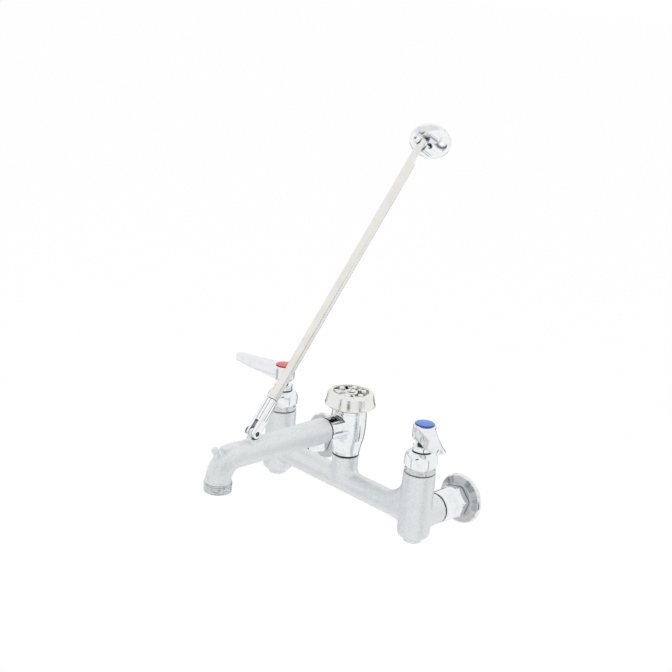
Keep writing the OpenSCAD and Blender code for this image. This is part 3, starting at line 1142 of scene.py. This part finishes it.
@dataclass
class Valve:
    """One valve: bonnet, packing nut, stem, plunger, seat and stop."""

    side: Side
    bonnet_across: float = 30.2
    bonnet_top: float = 70.0
    bell_r: float = 16.9
    barrel_r: float = 12.6
    barrel_low: float = 28.0
    stem_r: float = 5.3
    packing_across: float = 18.8
    packing_r: float = 10.6
    packing_top: float = 76.6
    neck_r: float = 7.2
    plug_r: float = 9.25
    plug_low: float = -26.7
    spindle_r: float = 3.55
    tower_low: float = -22.0

    def bonnet(self) -> Piece:
        """Builds the bell-shaped hexagonal bonnet with its barrel.

        Returns:
            The bonnet.
        """
        low, top, neck, stem = self.barrel_low, self.bonnet_top, self.neck_r, self.stem_r
        bell = [
            (self.barrel_r, low), (self.barrel_r, 49), (15.6, 49), (15.6, 50.4), (14.2, 51.6),
            (14.6, 53.2), (15.9, 54.4), *arc(15.9, 55.6, 1, -60, 0, 3), (self.bell_r, 60.8),
            *arc(self.bell_r - 10, 60.8, 10, 6, 60, 9), (11.6, top - 0.5), (11, top), (neck, top),
            (neck, 74.4), (6.3, 74.4), (6.3, 66), (stem, 66), (stem, 50), (8.3, 50), (8.3, low),
        ]
        spin = -13 if self.side is Side.HOT else -21
        flats = Hexagon(self.bonnet_across, spin, 52.6, 73, 1.9)
        shape = filled(rounded(bell, 0.35), 0.8)
        place = LAYOUT.tower(self.side)
        return Forge.turned(f"{self.side.prefix}bonnet_bell", shape, place, 192, flats)

    def packing_nut(self) -> Piece:
        """Builds the small hexagon nut under the lever.

        Returns:
            The nut.
        """
        r, top, neck, stem = self.packing_r, self.packing_top, self.neck_r, self.stem_r
        profile = [
            (neck, 70.9), (9.9, 70.9), (r, 71.8), (r, 75.2), (9, top), (stem, top), (stem, 75),
            (neck, 75),
        ]
        spin = 5 if self.side is Side.HOT else 9
        flats = Hexagon(self.packing_across, spin, 70.8, top + 0.1, 0.9)
        shape = filled(rounded(profile, 0.3), 0.7)
        place = LAYOUT.tower(self.side)
        return Forge.turned(f"{self.side.prefix}packing_cap", shape, place, 144, flats)

    def plug(self) -> Piece:
        """Builds the round plug under the tower.

        Returns:
            The plug.
        """
        r, low, seam = self.plug_r, self.plug_low, self.tower_low
        profile = [
            (self.spindle_r, low), (r, low), (r, seam - 1.1), (7.9, seam - 0.9), (7, seam),
            (7, -13.5), (self.spindle_r, -13.5),
        ]
        place = LAYOUT.tower(self.side)
        return Forge.turned(f"{self.side.prefix}stop_cap", rounded(profile, 1.0, 4), place, 96)

    def build(self) -> None:
        """Builds and dresses the valve."""
        prefix = self.side.prefix
        fit(Forge.settle(self.bonnet()), f"{prefix}bonnet", GROOVED_CHROME)
        fit(Forge.settle(self.packing_nut()), f"{prefix}packing_nut", CHROME)
        fit(Forge.settle(self.plug()), f"{prefix}stop_plug", SATIN)
        # The stem's dark steel is partly painted shade for the gap under the lever's hub.
        inner = {
            "valve_seat": BRASS, "bonnet_washer": FIBRE, "packing_seal": RUBBER,
            "stem_packing": FIBRE, "stem": STEEL, "plunger": BRASS, "seat_washer": RUBBER,
            "stop_spindle": BRASS, "stop_disc": BRASS, "handle_screw": STEEL,
        }
        keep(inner, prefix)


@dataclass
class Lever:
    """One lever handle with its index button.

    A pair is a start value and its change: along the arm, along the hollow under it, or with
    the depth of the facets beside the hub.
    """

    side: Side
    hub_r: float = 11.3
    hub_low: float = 81.3
    hub_top: float = 98.0
    stem_r: float = 4.6
    cup_r: float = 9.7
    cup_low: float = 95.8
    length: float = 62.0
    tip_r: float = 8.2
    arm_root: float = 10.6
    arm_low: float = 82.8
    arm_slope: float = 0.1909
    arm_high: Point = (97.7, 1.3)
    arm_wide: Point = (10.7, -2.5)
    arm_crest: Point = (9.4, -6.8)
    facet_end: float = 34.0
    facet_keel: Point = (1.0, 3.6)
    facet_chine: Point = (1.4, 4.8)
    arm_steps: int = 26
    tip_steps: int = 14
    hollow_x: Point = (9.5, 44.0)
    hollow_wide: Point = (6.6, -2.2)
    hollow_top: Point = (91.0, 4.0)
    hollow_low: Point = (79.0, 9.5)
    hollow_dip: float = 3.0
    dip_from: float = 0.72
    hollow_steps: int = 14

    @property
    def closed(self) -> Matrix:
        """Frame of the closed lever, with its arm along +X."""
        return LAYOUT.tower(self.side) @ turn(195.5 if self.side is Side.HOT else -35.5, "Z")

    def ring(self, along: float, swing: float = 0.0) -> list[Triple]:
        """One section of the arm.

        Args:
            along: distance from the axis in millimetres.
            swing: angle round the tip in degrees, 0 before the tip.

        Returns:
            The section's points.
        """
        share = along / (self.length - self.tip_r)
        narrow = math.cos(math.radians(swing))
        x = along + self.tip_r * math.sin(math.radians(swing))
        low = self.arm_low + max(0.0, along - self.arm_root) * self.arm_slope
        high = drift(self.arm_high, share)
        wide = drift(self.arm_wide, share) * narrow
        crest = drift(self.arm_crest, share) * narrow
        facet = max(0.0, 1 - along / self.facet_end)
        keel = wide - drift(self.facet_keel, facet) * narrow
        chine = low + drift(self.facet_chine, facet)
        if swing:
            middle = (low + high) / 2 + 0.9
            pinch = 1 - narrow**0.5
            low, chine, high = (z + (middle - z) * pinch for z in (low, chine, high))
        outline = mirrored([(keel, low), (wide, chine), (crest, high)])
        return [(x, y, z) for y, z in rounded(outline, 2.6 * max(narrow, 0.05), 5)]

    def arm(self) -> Piece:
        """Builds the arm from its sections.

        Returns:
            The arm.
        """
        end, steps, bend = self.length - self.tip_r, self.arm_steps, self.tip_steps
        rings = [self.ring(end * k / steps) for k in range(steps + 1)]
        rings += [self.ring(end, 90 * k / bend) for k in range(1, bend)]
        rings.append(self.ring(end, 88.5))
        return Forge.piece("arm_tool", lofted(rings, True), self.closed)

    def hollow(self) -> Piece:
        """Builds the hollow under the arm.

        Returns:
            The hollow.
        """
        rings = []
        for k in range(self.hollow_steps + 1):
            t = k / self.hollow_steps
            wide = drift(self.hollow_wide, t)
            dip = self.hollow_dip * max(0.0, t - self.dip_from) / (1 - self.dip_from)
            top = drift(self.hollow_top, t) - dip
            squeeze = math.sin(math.pi * min(1.0, 0.18 + t * 3)) if t < 0.11 else 1.0
            low = drift(self.hollow_low, t)
            half = [(wide, low), (wide * 0.98 * squeeze, top - 2.5), (wide * 0.5, top)]
            x = drift(self.hollow_x, t)
            rings.append([(x, y, z) for y, z in rounded(mirrored(half), 1.5, 3)])
        return Forge.piece("hollow_tool", lofted(rings, True), self.closed)

    def handle(self) -> Piece:
        """Builds the lever.

        Returns:
            The lever.
        """
        low, top, r, cup = self.hub_low, self.hub_top, self.hub_r, self.cup_low
        shell = [
            (0.0, low), (8.8, low), (9.4, low + 0.8), (r, 84.4), (r, top - 1.8), (r - 0.7, top),
            (0.0, top),
        ]
        bore = [
            (0.0, 80.0), (self.stem_r, 80.0), (self.stem_r, 92.0), (3.6, 92.0), (3.6, cup),
            (self.cup_r, cup), (self.cup_r, 100.0), (0.0, 100.0),
        ]
        place = LAYOUT.tower(self.side)
        lever = Forge.turned(f"{self.side.prefix}lever_handle", rounded(shell, 0.5), place)
        cuts = [self.hollow(), Forge.turned("core_tool", bore, place, 64)]
        return Forge.carve(lever, cuts, [self.arm()], 32)

    def button(self) -> Piece:
        """Builds the index button.

        Returns:
            The button.
        """
        low, r = self.cup_low, self.cup_r - 0.1
        cap = [
            (4.0, low), (r, low), (r, 98.7), (9.0, 99.2), (3.0, 99.65), (0.0, 99.7),
            (0.0, low + 1), (4.0, low + 1),
        ]
        place = LAYOUT.tower(self.side)
        return Forge.turned(f"{self.side.prefix}button_cap", rounded(cap, 0.4, 4), place)

    def build(self) -> None:
        """Builds and dresses the lever and its button."""
        prefix = self.side.prefix
        fit(self.handle(), f"{prefix}lever", LEVER_CHROME, f"{prefix}handle_set")
        plastic = RED if self.side is Side.HOT else BLUE
        fit(Forge.settle(self.button()), f"{prefix}index_button", plastic, f"{prefix}handle_set")


@dataclass
class Casting:
    """The satin body casting with blended joins."""

    voxel: float = 0.8
    passes: int = 6
    join_passes: int = 26
    pocket_r: float = 6.97
    pocket: Point = (-13.0, 5.3)
    bar_r: float = 11.9
    bar_z: float = 1.6
    post_span: float = 24.0
    post_fade: float = 5.0

    def build(self) -> None:
        """Builds the casting from its node, softens its joins and clears the stop bores."""
        casting = blended(
            "casting_shell",
            "body_casting",
            self.voxel,
            self.passes,
            self.near_join,
            self.join_passes,
        )
        pockets = []
        for side in Side:
            name, place = f"{side.prefix}pocket_tool", LAYOUT.tower(side)
            pockets.append(Forge.pin(name, self.pocket_r, self.pocket, place, 64))
        Forge.carve(casting, pockets, angle=180)
        casting.modifiers.clear()
        self.trim_post(casting)
        fit(casting, "body_casting", SATIN)

    def trim_post(self, casting: Piece) -> None:
        """Draws the post's underside in to the crossbar's.

        Args:
            casting: the casting, changed in place.
        """
        for vertex in casting.data.vertices:
            x, y, z = vertex.co / MM
            y, z = y + LAYOUT.reach, z - self.bar_z
            d = math.hypot(y, z)
            if abs(x) < self.post_span and z < 0 and d > self.bar_r:
                k = 1 + (self.bar_r / d - 1) * min(1.0, -z / self.post_fade)
                vertex.co = Vector((x, y * k - LAYOUT.reach, z * k + self.bar_z)) * MM

    @staticmethod
    def near_join(spot: Vector) -> float:
        """Share of extra softening.

        Args:
            spot: a point in millimetres.

        Returns:
            The share, 0 to 1.
        """
        x, y, z = abs(spot.x), spot.y + LAYOUT.reach, spot.z
        if z > 44 or z < -18 or y > 27 or (x < 16 and z > 27):
            return 0.0
        side = abs(x - LAYOUT.half)
        sweep = max(0.0, 1 - abs(side - 16) / 12) if side < 34 else 0.0
        post = max(0.0, 1 - abs(x - 13) / 9) if z > 5 else 0.0
        return min(1.0, 1.3 * max(sweep, post))


@dataclass
class Breaker:
    """The vacuum breaker on the middle post."""

    hood_low: float = 85.4
    hood_top: float = 100.6
    hood_r: float = 26.2
    plate_low: float = 94.2
    plate_top: float = 97.2
    inside_r: float = 22.4
    web_reach: Point = (0.5, 18.3)
    stud_out: float = 13.6
    vent_out: float = 10.4
    vent_r: float = 1.7
    screw_r: float = 1.95
    screw_low: float = 84.2
    count: int = 6

    def web(self, half: float, heights: Point) -> list[Triple]:
        """One layer of a rib.

        Args:
            half: its half width.
            heights: its height at the inner and outer end.

        Returns:
            The layer's corners.
        """
        near, far = self.web_reach
        return [
            (near, -half, heights[0]), (far, -half, heights[1]),
            (far, half, heights[1]), (near, half, heights[0]),
        ]

    def hood(self) -> Piece:
        """Builds the vented hood.

        Returns:
            The hood.
        """
        low, top, r, middle = self.hood_low, self.hood_top, self.hood_r, LAYOUT.middle()
        shell = [
            (0.0, self.plate_low), (self.inside_r, self.plate_low), (24.4, low + 0.4), (25.2, low),
            (r, low + 0.7), (r, low + 2), (25.3, 89.6), (24.6, 93.0), (24.2, 95.2),
            *arc(20.6, 96.2, 3.4, 6, 62, 5), (20, top - 0.5), (19.2, top), (18.6, top - 0.3),
            (18, self.plate_top), (0.0, self.plate_top),
        ]
        hood = Forge.turned("hood_shell", filled(rounded(shell, 0.5), 2.0), middle, 144)
        boss = rounded([(0.0, 97.0), (7.4, 97.0), (6.8, 99.9), (0.0, 99.9)], 0.9)
        joined = [Forge.turned("boss_tool", boss, middle, 64)]
        rib = lofted([self.web(1.7, (96.9, 96.9)), self.web(0.9, (98.9, 99.0))], True)
        stud = rounded([(0.0, 96.8), (3.3, 96.8), (2.6, 100.5), (0.0, 100.7)], 0.9)
        cuts = []
        for k in range(self.count):
            spoke = 360 / self.count * k
            joined.append(Forge.piece(f"rib_tool_{k}", rib, middle @ turn(spoke + 30, "Z")))
            place = middle @ turn(spoke, "Z") @ shift(self.stud_out)
            joined.append(Forge.turned(f"stud_tool_{k}", stud, place, 36))
            place = middle @ turn(spoke + 15, "Z") @ shift(self.vent_out)
            cuts.append(Forge.pin(f"vent_tool_{k}", self.vent_r, (90.0, 100.0), place, 32))
        cuts.append(Forge.pin("bore_tool", self.screw_r + 0.25, (90.0, 105.0), middle, 32))
        return Forge.carve(hood, cuts, joined)

    def cap_screw(self) -> Piece:
        """Builds the slotted screw that holds the hood.

        Returns:
            The screw.
        """
        r, head, middle = self.screw_r, self.hood_top - 0.7, LAYOUT.middle()
        shape = [
            (0.0, self.screw_low), (r, self.screw_low), (r, head), (4.0, head), (4.0, head + 0.9),
            (3.1, head + 1.6), (0.0, head + 1.8),
        ]
        screw = Forge.turned("hood_screw", rounded(shape, 0.3), middle, 48)
        slot = (head + 1.0, head + 4)
        return Forge.carve(
            screw, [Forge.block("slot_tool", oblong(0.5, 5.0), slot, middle @ turn(25, "Z"))]
        )

    def build(self) -> None:
        """Builds and dresses the breaker."""
        fit(self.hood(), "vb_hood", NICKEL)
        fit(self.cap_screw(), "vb_hood_screw", CHROME)
        inner = {
            "base_seal": RUBBER, "body": CHROME, "bonnet": CHROME, "float": BRASS,
            "float_washer": RUBBER,
        }
        keep(inner, "vb_")


@dataclass
class Spout:
    """The spout with its pail hook, lug and hose thread."""

    hose_r: float = 13.45
    bore_r: float = 9.5
    groove_r: float = 12.9
    pitch: float = 2.2
    thread_span: Point = (0.3, 7.6)
    thread_depth: float = 0.8
    run_out: float = 0.8
    collar_height: float = 9.5
    waist_r: float = 10.6
    lap: float = 0.6
    voxel: float = 0.6
    passes: int = 5
    join_passes: int = 16

    def thread(self, angle: float, radius: float, height: float) -> float:
        """Radius of the hose thread.

        Args:
            angle: direction in radians.
            radius: radius of the plain collar.
            height: height of the point.

        Returns:
            The radius with the thread cut.
        """
        low, high = (LAYOUT.outlet_z + z for z in self.thread_span)
        if radius < self.hose_r - 0.6 or not low <= height <= high:
            return radius
        turns = (height - low) / self.pitch - angle / (2 * math.pi)
        wave = abs((turns % 1) * 2 - 1)
        crest = min(1.0, max(0.0, wave * 1.7 - 0.35))
        fade = min(1.0, (height - low) / self.run_out, (high - height) / self.run_out)
        return self.hose_r - self.thread_depth * (1 - crest) * fade - 0.35 * (1 - fade)

    def collar(self) -> Piece:
        """Builds the threaded end.

        Returns:
            The threaded end.
        """
        low, r, groove, bore = LAYOUT.outlet_z, self.hose_r, self.groove_r, self.bore_r
        top = low + self.collar_height
        corners = [
            (bore, low), (12.3, low), (r, low + 0.6), (r, low + 7.6), (groove, low + 7.9),
            (groove, low + 8.1), (r, low + 8.3), (r, top - 0.3), (r - 1.1, top), (bore, top),
        ]
        profile = filled(rounded(corners, 0.25), 0.3)
        return Forge.turned("hose_thread", profile, shift(0, -LAYOUT.outlet_y), 120, self.thread)

    def waist(self, spout: Piece) -> None:
        """Draws the skin in where the threaded end sits over it.

        Args:
            spout: the spout, changed in place.
        """
        low = LAYOUT.outlet_z
        for vertex in spout.data.vertices:
            x, y, z = vertex.co / MM
            y += LAYOUT.outlet_y
            r = math.hypot(x, y)
            if z < low + self.collar_height - self.lap and r > self.waist_r:
                x, y = x * self.waist_r / r, y * self.waist_r / r
            z = max(z, low + self.lap)
            vertex.co = Vector((x, y - LAYOUT.outlet_y, z)) * MM

    def build(self) -> None:
        """Builds and dresses the spout."""
        spout = blended(
            "spout_shell", "spout", self.voxel, self.passes, self.near_join, self.join_passes
        )
        self.waist(spout)
        fit(spout, "spout", SATIN)
        fit(Forge.settle(self.collar(), 34), "spout", THREAD_CHROME)
        keep({"spout_seal": RUBBER})

    @staticmethod
    def near_join(spot: Vector) -> float:
        """Share of extra softening.

        Args:
            spot: a point in millimetres.

        Returns:
            The share, 0 to 1.
        """
        y, z = -spot.y, spot.z
        if y > 226 and z > 62:
            return 1.0
        return 0.35 if 192 < y < 216 and 70 < z < 79 else 0.0


@dataclass
class Brace:
    """The wall brace from the spout's lug to the wall flange."""

    lug: Triple = (0.0, -204.0, 83.4)
    rise: float = 53.0
    length: float = 336.2
    spin: float = 61.5
    tip: float = 18.0
    fork_length: float = 36.4
    fork_half_x: float = 5.7
    fork_half_y: float = 4.8
    slot_half: float = 2.4
    slot_end: float = 12.6
    seat_low: float = 19.4
    thread_r: float = 3.0
    rod_r: float = 4.8
    lap_x: float = 1.2
    lap_length: float = 24.0
    pin_r: float = 2.5
    disc_r: float = 21.6
    stand: float = 12.5
    disc_x: float = 8.6
    knuckle_r: float = 7.0
    knuckle_half: float = 5.0
    grub_r: float = 2.9
    hole_x: float = 10.9
    hole_z: float = 5.5
    head_low: float = -9.0
    head_r: float = 4.2

    @property
    def line(self) -> Matrix:
        """Frame that runs up the rod from the lower pivot."""
        return shift(*self.lug) @ turn(self.rise - 90, "X")

    @property
    def foot(self) -> Matrix:
        """Frame of the upper pivot, with the wall along +Y."""
        level = turn(90 - self.rise + self.tip, "X")
        return self.line @ shift(z=self.length) @ turn(self.spin, "Z") @ level

    def grooves(self) -> list[Piece]:
        """Builds the tools of the fine grooves along the clevis's four faces.

        Returns:
            The tools.
        """
        x, y, span = self.fork_half_x, self.fork_half_y, (self.slot_end + 1, self.fork_length + 2)
        lines = [(side * 1.9, face * y, 0.0) for face in (-1, 1) for side in (-1, 1)]
        lines += [(side * 1.6, face * x, 90.0) for face in (-1, 1) for side in (-1, 1)]
        tools = []
        for k, (off, depth, spin) in enumerate(lines):
            out = math.copysign(1.0, depth)
            rim, floor = depth + out, depth - 0.4 * out
            cut = [(off + 0.5, rim), (off + 0.22, floor), (off - 0.22, floor), (off - 0.5, rim)]
            place = self.line @ turn(spin, "Z")
            tools.append(Forge.block(f"groove_tool_{k}", cut, span, place))
        return tools

    def fork(self) -> Piece:
        """Builds the clevis.

        Returns:
            The clevis.
        """
        x, y, end, steps = self.fork_half_x, self.fork_half_y, self.fork_length, 14
        outline = rounded(oblong(x, y), 1.5, 4)
        rings = []
        for k in range(steps + 1):
            swing = math.radians(-86 + 86 * k / steps)
            rings.append([(px, py * math.cos(swing), y * math.sin(swing)) for px, py in outline])
        for height, inset in ((end - 0.6, 0.0), (end - 0.15, 0.2), (end, 0.6)):
            rings.append(layer(outline, height, inset))
        fork = Forge.piece("clevis_fork", lofted(rings, True), self.line)
        across = self.line @ turn(90, "Y")
        cuts = [
            Forge.block("slot_tool", oblong(self.slot_half, 9), (-9, self.slot_end), self.line),
            Forge.pin("pin_tool", self.pin_r, (-12.0, 12.0), across),
            Forge.pin("seat_tool", self.thread_r + 0.05, (self.seat_low, 40.0), self.line),
            *self.grooves(),
        ]
        return Forge.carve(fork, cuts)

    def flange(self) -> Piece:
        """Builds the round wall flange with its knuckle and counterbored holes.

        Returns:
            The flange.
        """
        r, foot, half = self.disc_r, self.foot, self.knuckle_half
        dome = [
            (0.0, 0.0), (r - 0.2, 0.0), (r, 0.3), (r, 1.5), (r - 0.9, 2.4), (17.5, 3.2),
            (12, 4.1), (6, 4.6), (0.0, 4.6),
        ]
        place = foot @ shift(self.disc_x, self.stand) @ turn(90, "X")
        disc = Forge.turned("wall_flange_disc", rounded(dome, 0.7, 4), place, 128)
        near, far, across = self.disc_x - half, self.disc_x + half, foot @ turn(90, "Y")
        left, right, deep = near + 0.3, far - 0.3, self.knuckle_r - 0.2
        web = rounded([(left, -deep), (right, -deep), (right, deep), (left, deep)], 0.8)
        joined = [
            Forge.pin("knuckle_tool", self.knuckle_r, (near, far), across, 80, 0.7),
            Forge.block("web_tool", web, (0, self.stand - 2), foot @ turn(-90, "X")),
        ]
        grub = foot @ shift(near + 2.6) @ turn(37, "X")
        cuts = [
            Forge.pin("pivot_tool", self.pin_r, (0.0, far - 1.6), across),
            Forge.pin("grub_tool", self.grub_r, (1.3, 10.0), grub, 40),
        ]
        steps = [(0.0, -1.0), (2.4, -1.0), (2.4, 1.3), (5.2, 1.3), (5.2, 9.0), (0.0, 9.0)]
        for side in (-1, 1):
            hole = shift(self.disc_x + side * self.hole_x, self.stand + 1, side * self.hole_z)
            place = foot @ hole @ turn(90, "X")
            cuts.append(Forge.turned(f"hole_tool_{side + 1}", steps, place, 56))
        return Forge.carve(disc, cuts, joined)

    def rod(self) -> Piece:
        """Builds the rod with its half-lapped upper end.

        Returns:
            The rod.
        """
        r, low, end, thin = self.rod_r, self.fork_length + 0.3, self.length, self.thread_r
        foot = self.seat_low + 1
        shape = [
            (0.0, foot), (thin - 0.4, foot), (thin, foot + 0.4), (thin, low), (r - 0.3, low),
            (r, low + 0.3), *arc(0.0, end, r, 0, 90, 10)[:-1], (0.0, end + r),
        ]
        rod = Forge.turned("stay_rod", shape, self.line)
        place = self.line @ turn(self.spin, "Z")
        lap = [(self.lap_x + 10, -10), (self.lap_x + 10, 10), (self.lap_x, 10), (self.lap_x, -10)]
        eye = place @ shift(z=end) @ turn(90, "Y")
        cuts = [
            Forge.block("lap_tool", lap, (end - self.lap_length, end + 20), place),
            Forge.pin("eye_tool", self.pin_r + 0.05, (-9.0, 9.0), eye),
        ]
        return Forge.carve(rod, cuts)

    def screw(self) -> Piece:
        """Builds the pivot screw of the upper end, with its hexagon socket.

        Returns:
            The screw.
        """
        low, r, top, pin = self.head_low, self.head_r, -self.rod_r - 0.3, self.pin_r
        shape = [
            (0.0, low), (r - 1, low), (r, low + 0.8), (r, top), (pin, top), (pin, 10.6),
            (0.0, 10.6),
        ]
        across = self.foot @ turn(90, "Y")
        screw = Forge.turned("pivot_bolt", rounded(shape, 0.35), across, 72)
        key = Forge.pin("key_tool", 1.95, (low - 1, low + 2), across, 6)
        return Forge.carve(screw, [key], angle=30)

    def build(self) -> None:
        """Builds and dresses the brace."""
        fit(self.fork(), "brace_clevis", DEEP_CHROME, "brace_fork")
        fit(self.rod(), "brace_rod", ROD_NICKEL, "brace_stay")
        fit(self.flange(), "brace_flange", DEEP_CHROME, "brace_foot")
        fit(self.screw(), "pivot_screw", CHROME, "brace_foot")
        keep({"clevis_screw": STEEL, "pivot_washer": CHROME})


# ---- Studio ----


def sheet(name: str, wide: float, tall: float, material: bpy.types.Material) -> Piece:
    """Makes a flat rectangle that isn't part of the object.

    Args:
        name: its name.
        wide: its width in metres.
        tall: its height in metres.
        material: its material.

    Returns:
        The object.
    """
    mesh = bpy.data.meshes.new(name)
    corners = [(x, y, 0) for x, y in oblong(wide / 2, tall / 2)]
    mesh.from_pydata(corners, [], [(0, 1, 2, 3)])
    mesh.materials.append(material)
    made = placed(name, mesh)
    return made


@dataclass(frozen=True)
class Card:
    """A card that only polished metal sees, with its direction round the object in degrees.

    Azimuth 0 is in front of the wall. Width, height and distance are in metres.
    """

    name: str
    azimuth: float
    elevation: float
    wide: float
    tall: float
    grey: float
    away: float = 0.9

    def build(self) -> None:
        """Places the card."""
        a, e = math.radians(self.azimuth), math.radians(self.elevation)
        back = Vector((math.sin(a) * math.cos(e), -math.cos(a) * math.cos(e), math.sin(e)))
        graph = Graph(self.name)
        colour = (self.grey, self.grey, self.grey * 1.02)
        glow = graph.add("ShaderNodeEmission", None, {"Color": colour, "Strength": 1.0})
        graph.finish(glow)
        card = sheet(self.name, self.wide, self.tall, graph.material)
        card.location = Vector((0, -0.1, 0.1)) + back * self.away
        card.rotation_mode = "QUATERNION"
        card.rotation_quaternion = back.to_track_quat("Z", "Y")
        card.visible_camera = card.visible_diffuse = card.visible_shadow = False
        card.visible_transmission = card.visible_volume_scatter = False


@dataclass(frozen=True)
class Lamp:
    """A square soft lamp, in metres and watts."""

    name: str
    place: Triple
    size: float
    power: float
    aim: Triple = (0, -0.1, 0.05)

    def build(self) -> None:
        """Places the lamp."""
        data = bpy.data.lights.new(self.name, "AREA")
        data.size, data.energy = self.size, self.power
        lamp = placed(self.name, data)
        lamp.location = self.place
        lamp.visible_glossy = False
        lamp.rotation_mode = "QUATERNION"
        aim = Vector(self.aim) - Vector(self.place)
        lamp.rotation_quaternion = aim.to_track_quat("-Z", "Y")


LIGHTING = (
    Lamp("key", (-0.7, -1.5, 1.9), 1.5, 7),
    Lamp("fill", (1.9, -0.9, 1.2), 1.6, 9),
    Card("card_behind", 224, -22, 1.45, 0.62, 0.30),
    Card("card_front_left", -44, -24, 0.5, 0.34, 0.62),
    Card("card_streak", 92, -8, 0.12, 1.0, 0.06),
    Card("card_streak_far", 112, -14, 0.05, 0.6, 0.35),
    Card("card_low", 12, -36, 1.0, 0.22, 0.84),
    Card("card_hood_left", -1, 8, 0.045, 0.14, 0.15, 0.34),
    Card("card_hood_front", 40, 10, 0.085, 0.14, 0.14, 0.34),
)


@dataclass
class Studio:
    """Floor, light and camera."""

    floor_z: float = -0.5
    floor_size: float = 80.0
    floor_grey: Triple = (0.9, 0.9, 0.9)
    floor_glow: float = 1.02
    floor_shown: float = 0.93
    white: Triple = (1.0, 1.0, 1.0)
    light: float = 0.72
    lens: float = 64.375
    sensor: float = 36.0
    clip: Point = (0.05, 50)
    eye: Triple = (794.55, -922.32, 517.03)
    right: Triple = (0.698, 0.7114, 0.0814)
    up: Triple = (-0.2659, 0.152, 0.9519)

    def camera(self) -> None:
        """Places the camera."""
        data = bpy.data.cameras.new("view")
        data.lens, data.sensor_width = self.lens, self.sensor
        data.clip_start, data.clip_end = self.clip
        camera = placed("view", data)
        x = Vector(self.right).normalized()
        back = x.cross(Vector(self.up)).normalized()
        aim = Matrix((x, back.cross(x), back)).transposed().to_4x4()
        camera.matrix_world = Matrix.Translation(Vector(self.eye) * MM) @ aim
        bpy.context.scene.camera = camera

    @staticmethod
    def seen(graph: Graph) -> Link:
        """Tells rays that show the backdrop itself.

        Args:
            graph: the graph that asks.

        Returns:
            1 for such rays and 0 for the others.
        """
        paths = graph.node("ShaderNodeLightPath")
        names = ("Is Camera Ray", "Is Glossy Ray", "Is Transmission Ray")
        first, second, third = (Link(graph, paths.outputs[name]) for name in names)
        return first + second + third

    def world(self) -> None:
        """Makes the world: white behind the object, plain light on it."""
        world = bpy.data.worlds.new("studio")
        world.use_nodes = True
        graph = Graph("studio", world.node_tree)
        level = {"Value": self.seen(graph), "To Min": self.light, "To Max": 1.0}
        strength = graph.add("ShaderNodeMapRange", None, level)
        sky = {"Color": self.white, "Strength": strength}
        graph.finish(graph.add("ShaderNodeBackground", None, sky))
        bpy.context.scene.world = world

    def floor(self) -> None:
        """Makes the pale floor."""
        graph = Graph("floor")
        graph.surface(Base_Color=self.floor_grey, Roughness=0.9, Specular_IOR_Level=0.0)
        light = {"Color": self.white, "Strength": self.floor_glow}
        glow = graph.add("ShaderNodeEmission", None, light)
        share = self.seen(graph) * self.floor_shown
        matt = Link(graph, graph.shader.outputs["BSDF"])
        graph.finish(graph.add("ShaderNodeMixShader", None, {0: share, 1: matt, 2: glow}))
        floor = sheet("floor", self.floor_size, self.floor_size, graph.material)
        floor.location.z = self.floor_z

    def build(self) -> None:
        """Builds the studio."""
        self.camera()
        self.world()
        self.floor()
        for light in LIGHTING:
            light.build()
        bpy.context.scene.view_settings.view_transform = "Standard"
        log.info("studio: camera, world, floor, %d lamps and cards", len(LIGHTING))


def corners(box: tuple[Vector, Vector]) -> list[list[float]]:
    """Both corners of a box as plain lists."""
    return [list(corner) for corner in box]


def main() -> None:
    """Builds every sub-assembly in order."""
    logging.basicConfig(level=logging.INFO, format="%(message)s")
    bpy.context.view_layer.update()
    Studio().build()
    for side in Side:
        Supply(side).build()
        Valve(side).build()
        Lever(side).build()
    for assembly in (Casting(), Breaker(), Spout(), Brace()):
        assembly.build()


if __name__ == "__main__":
    main()
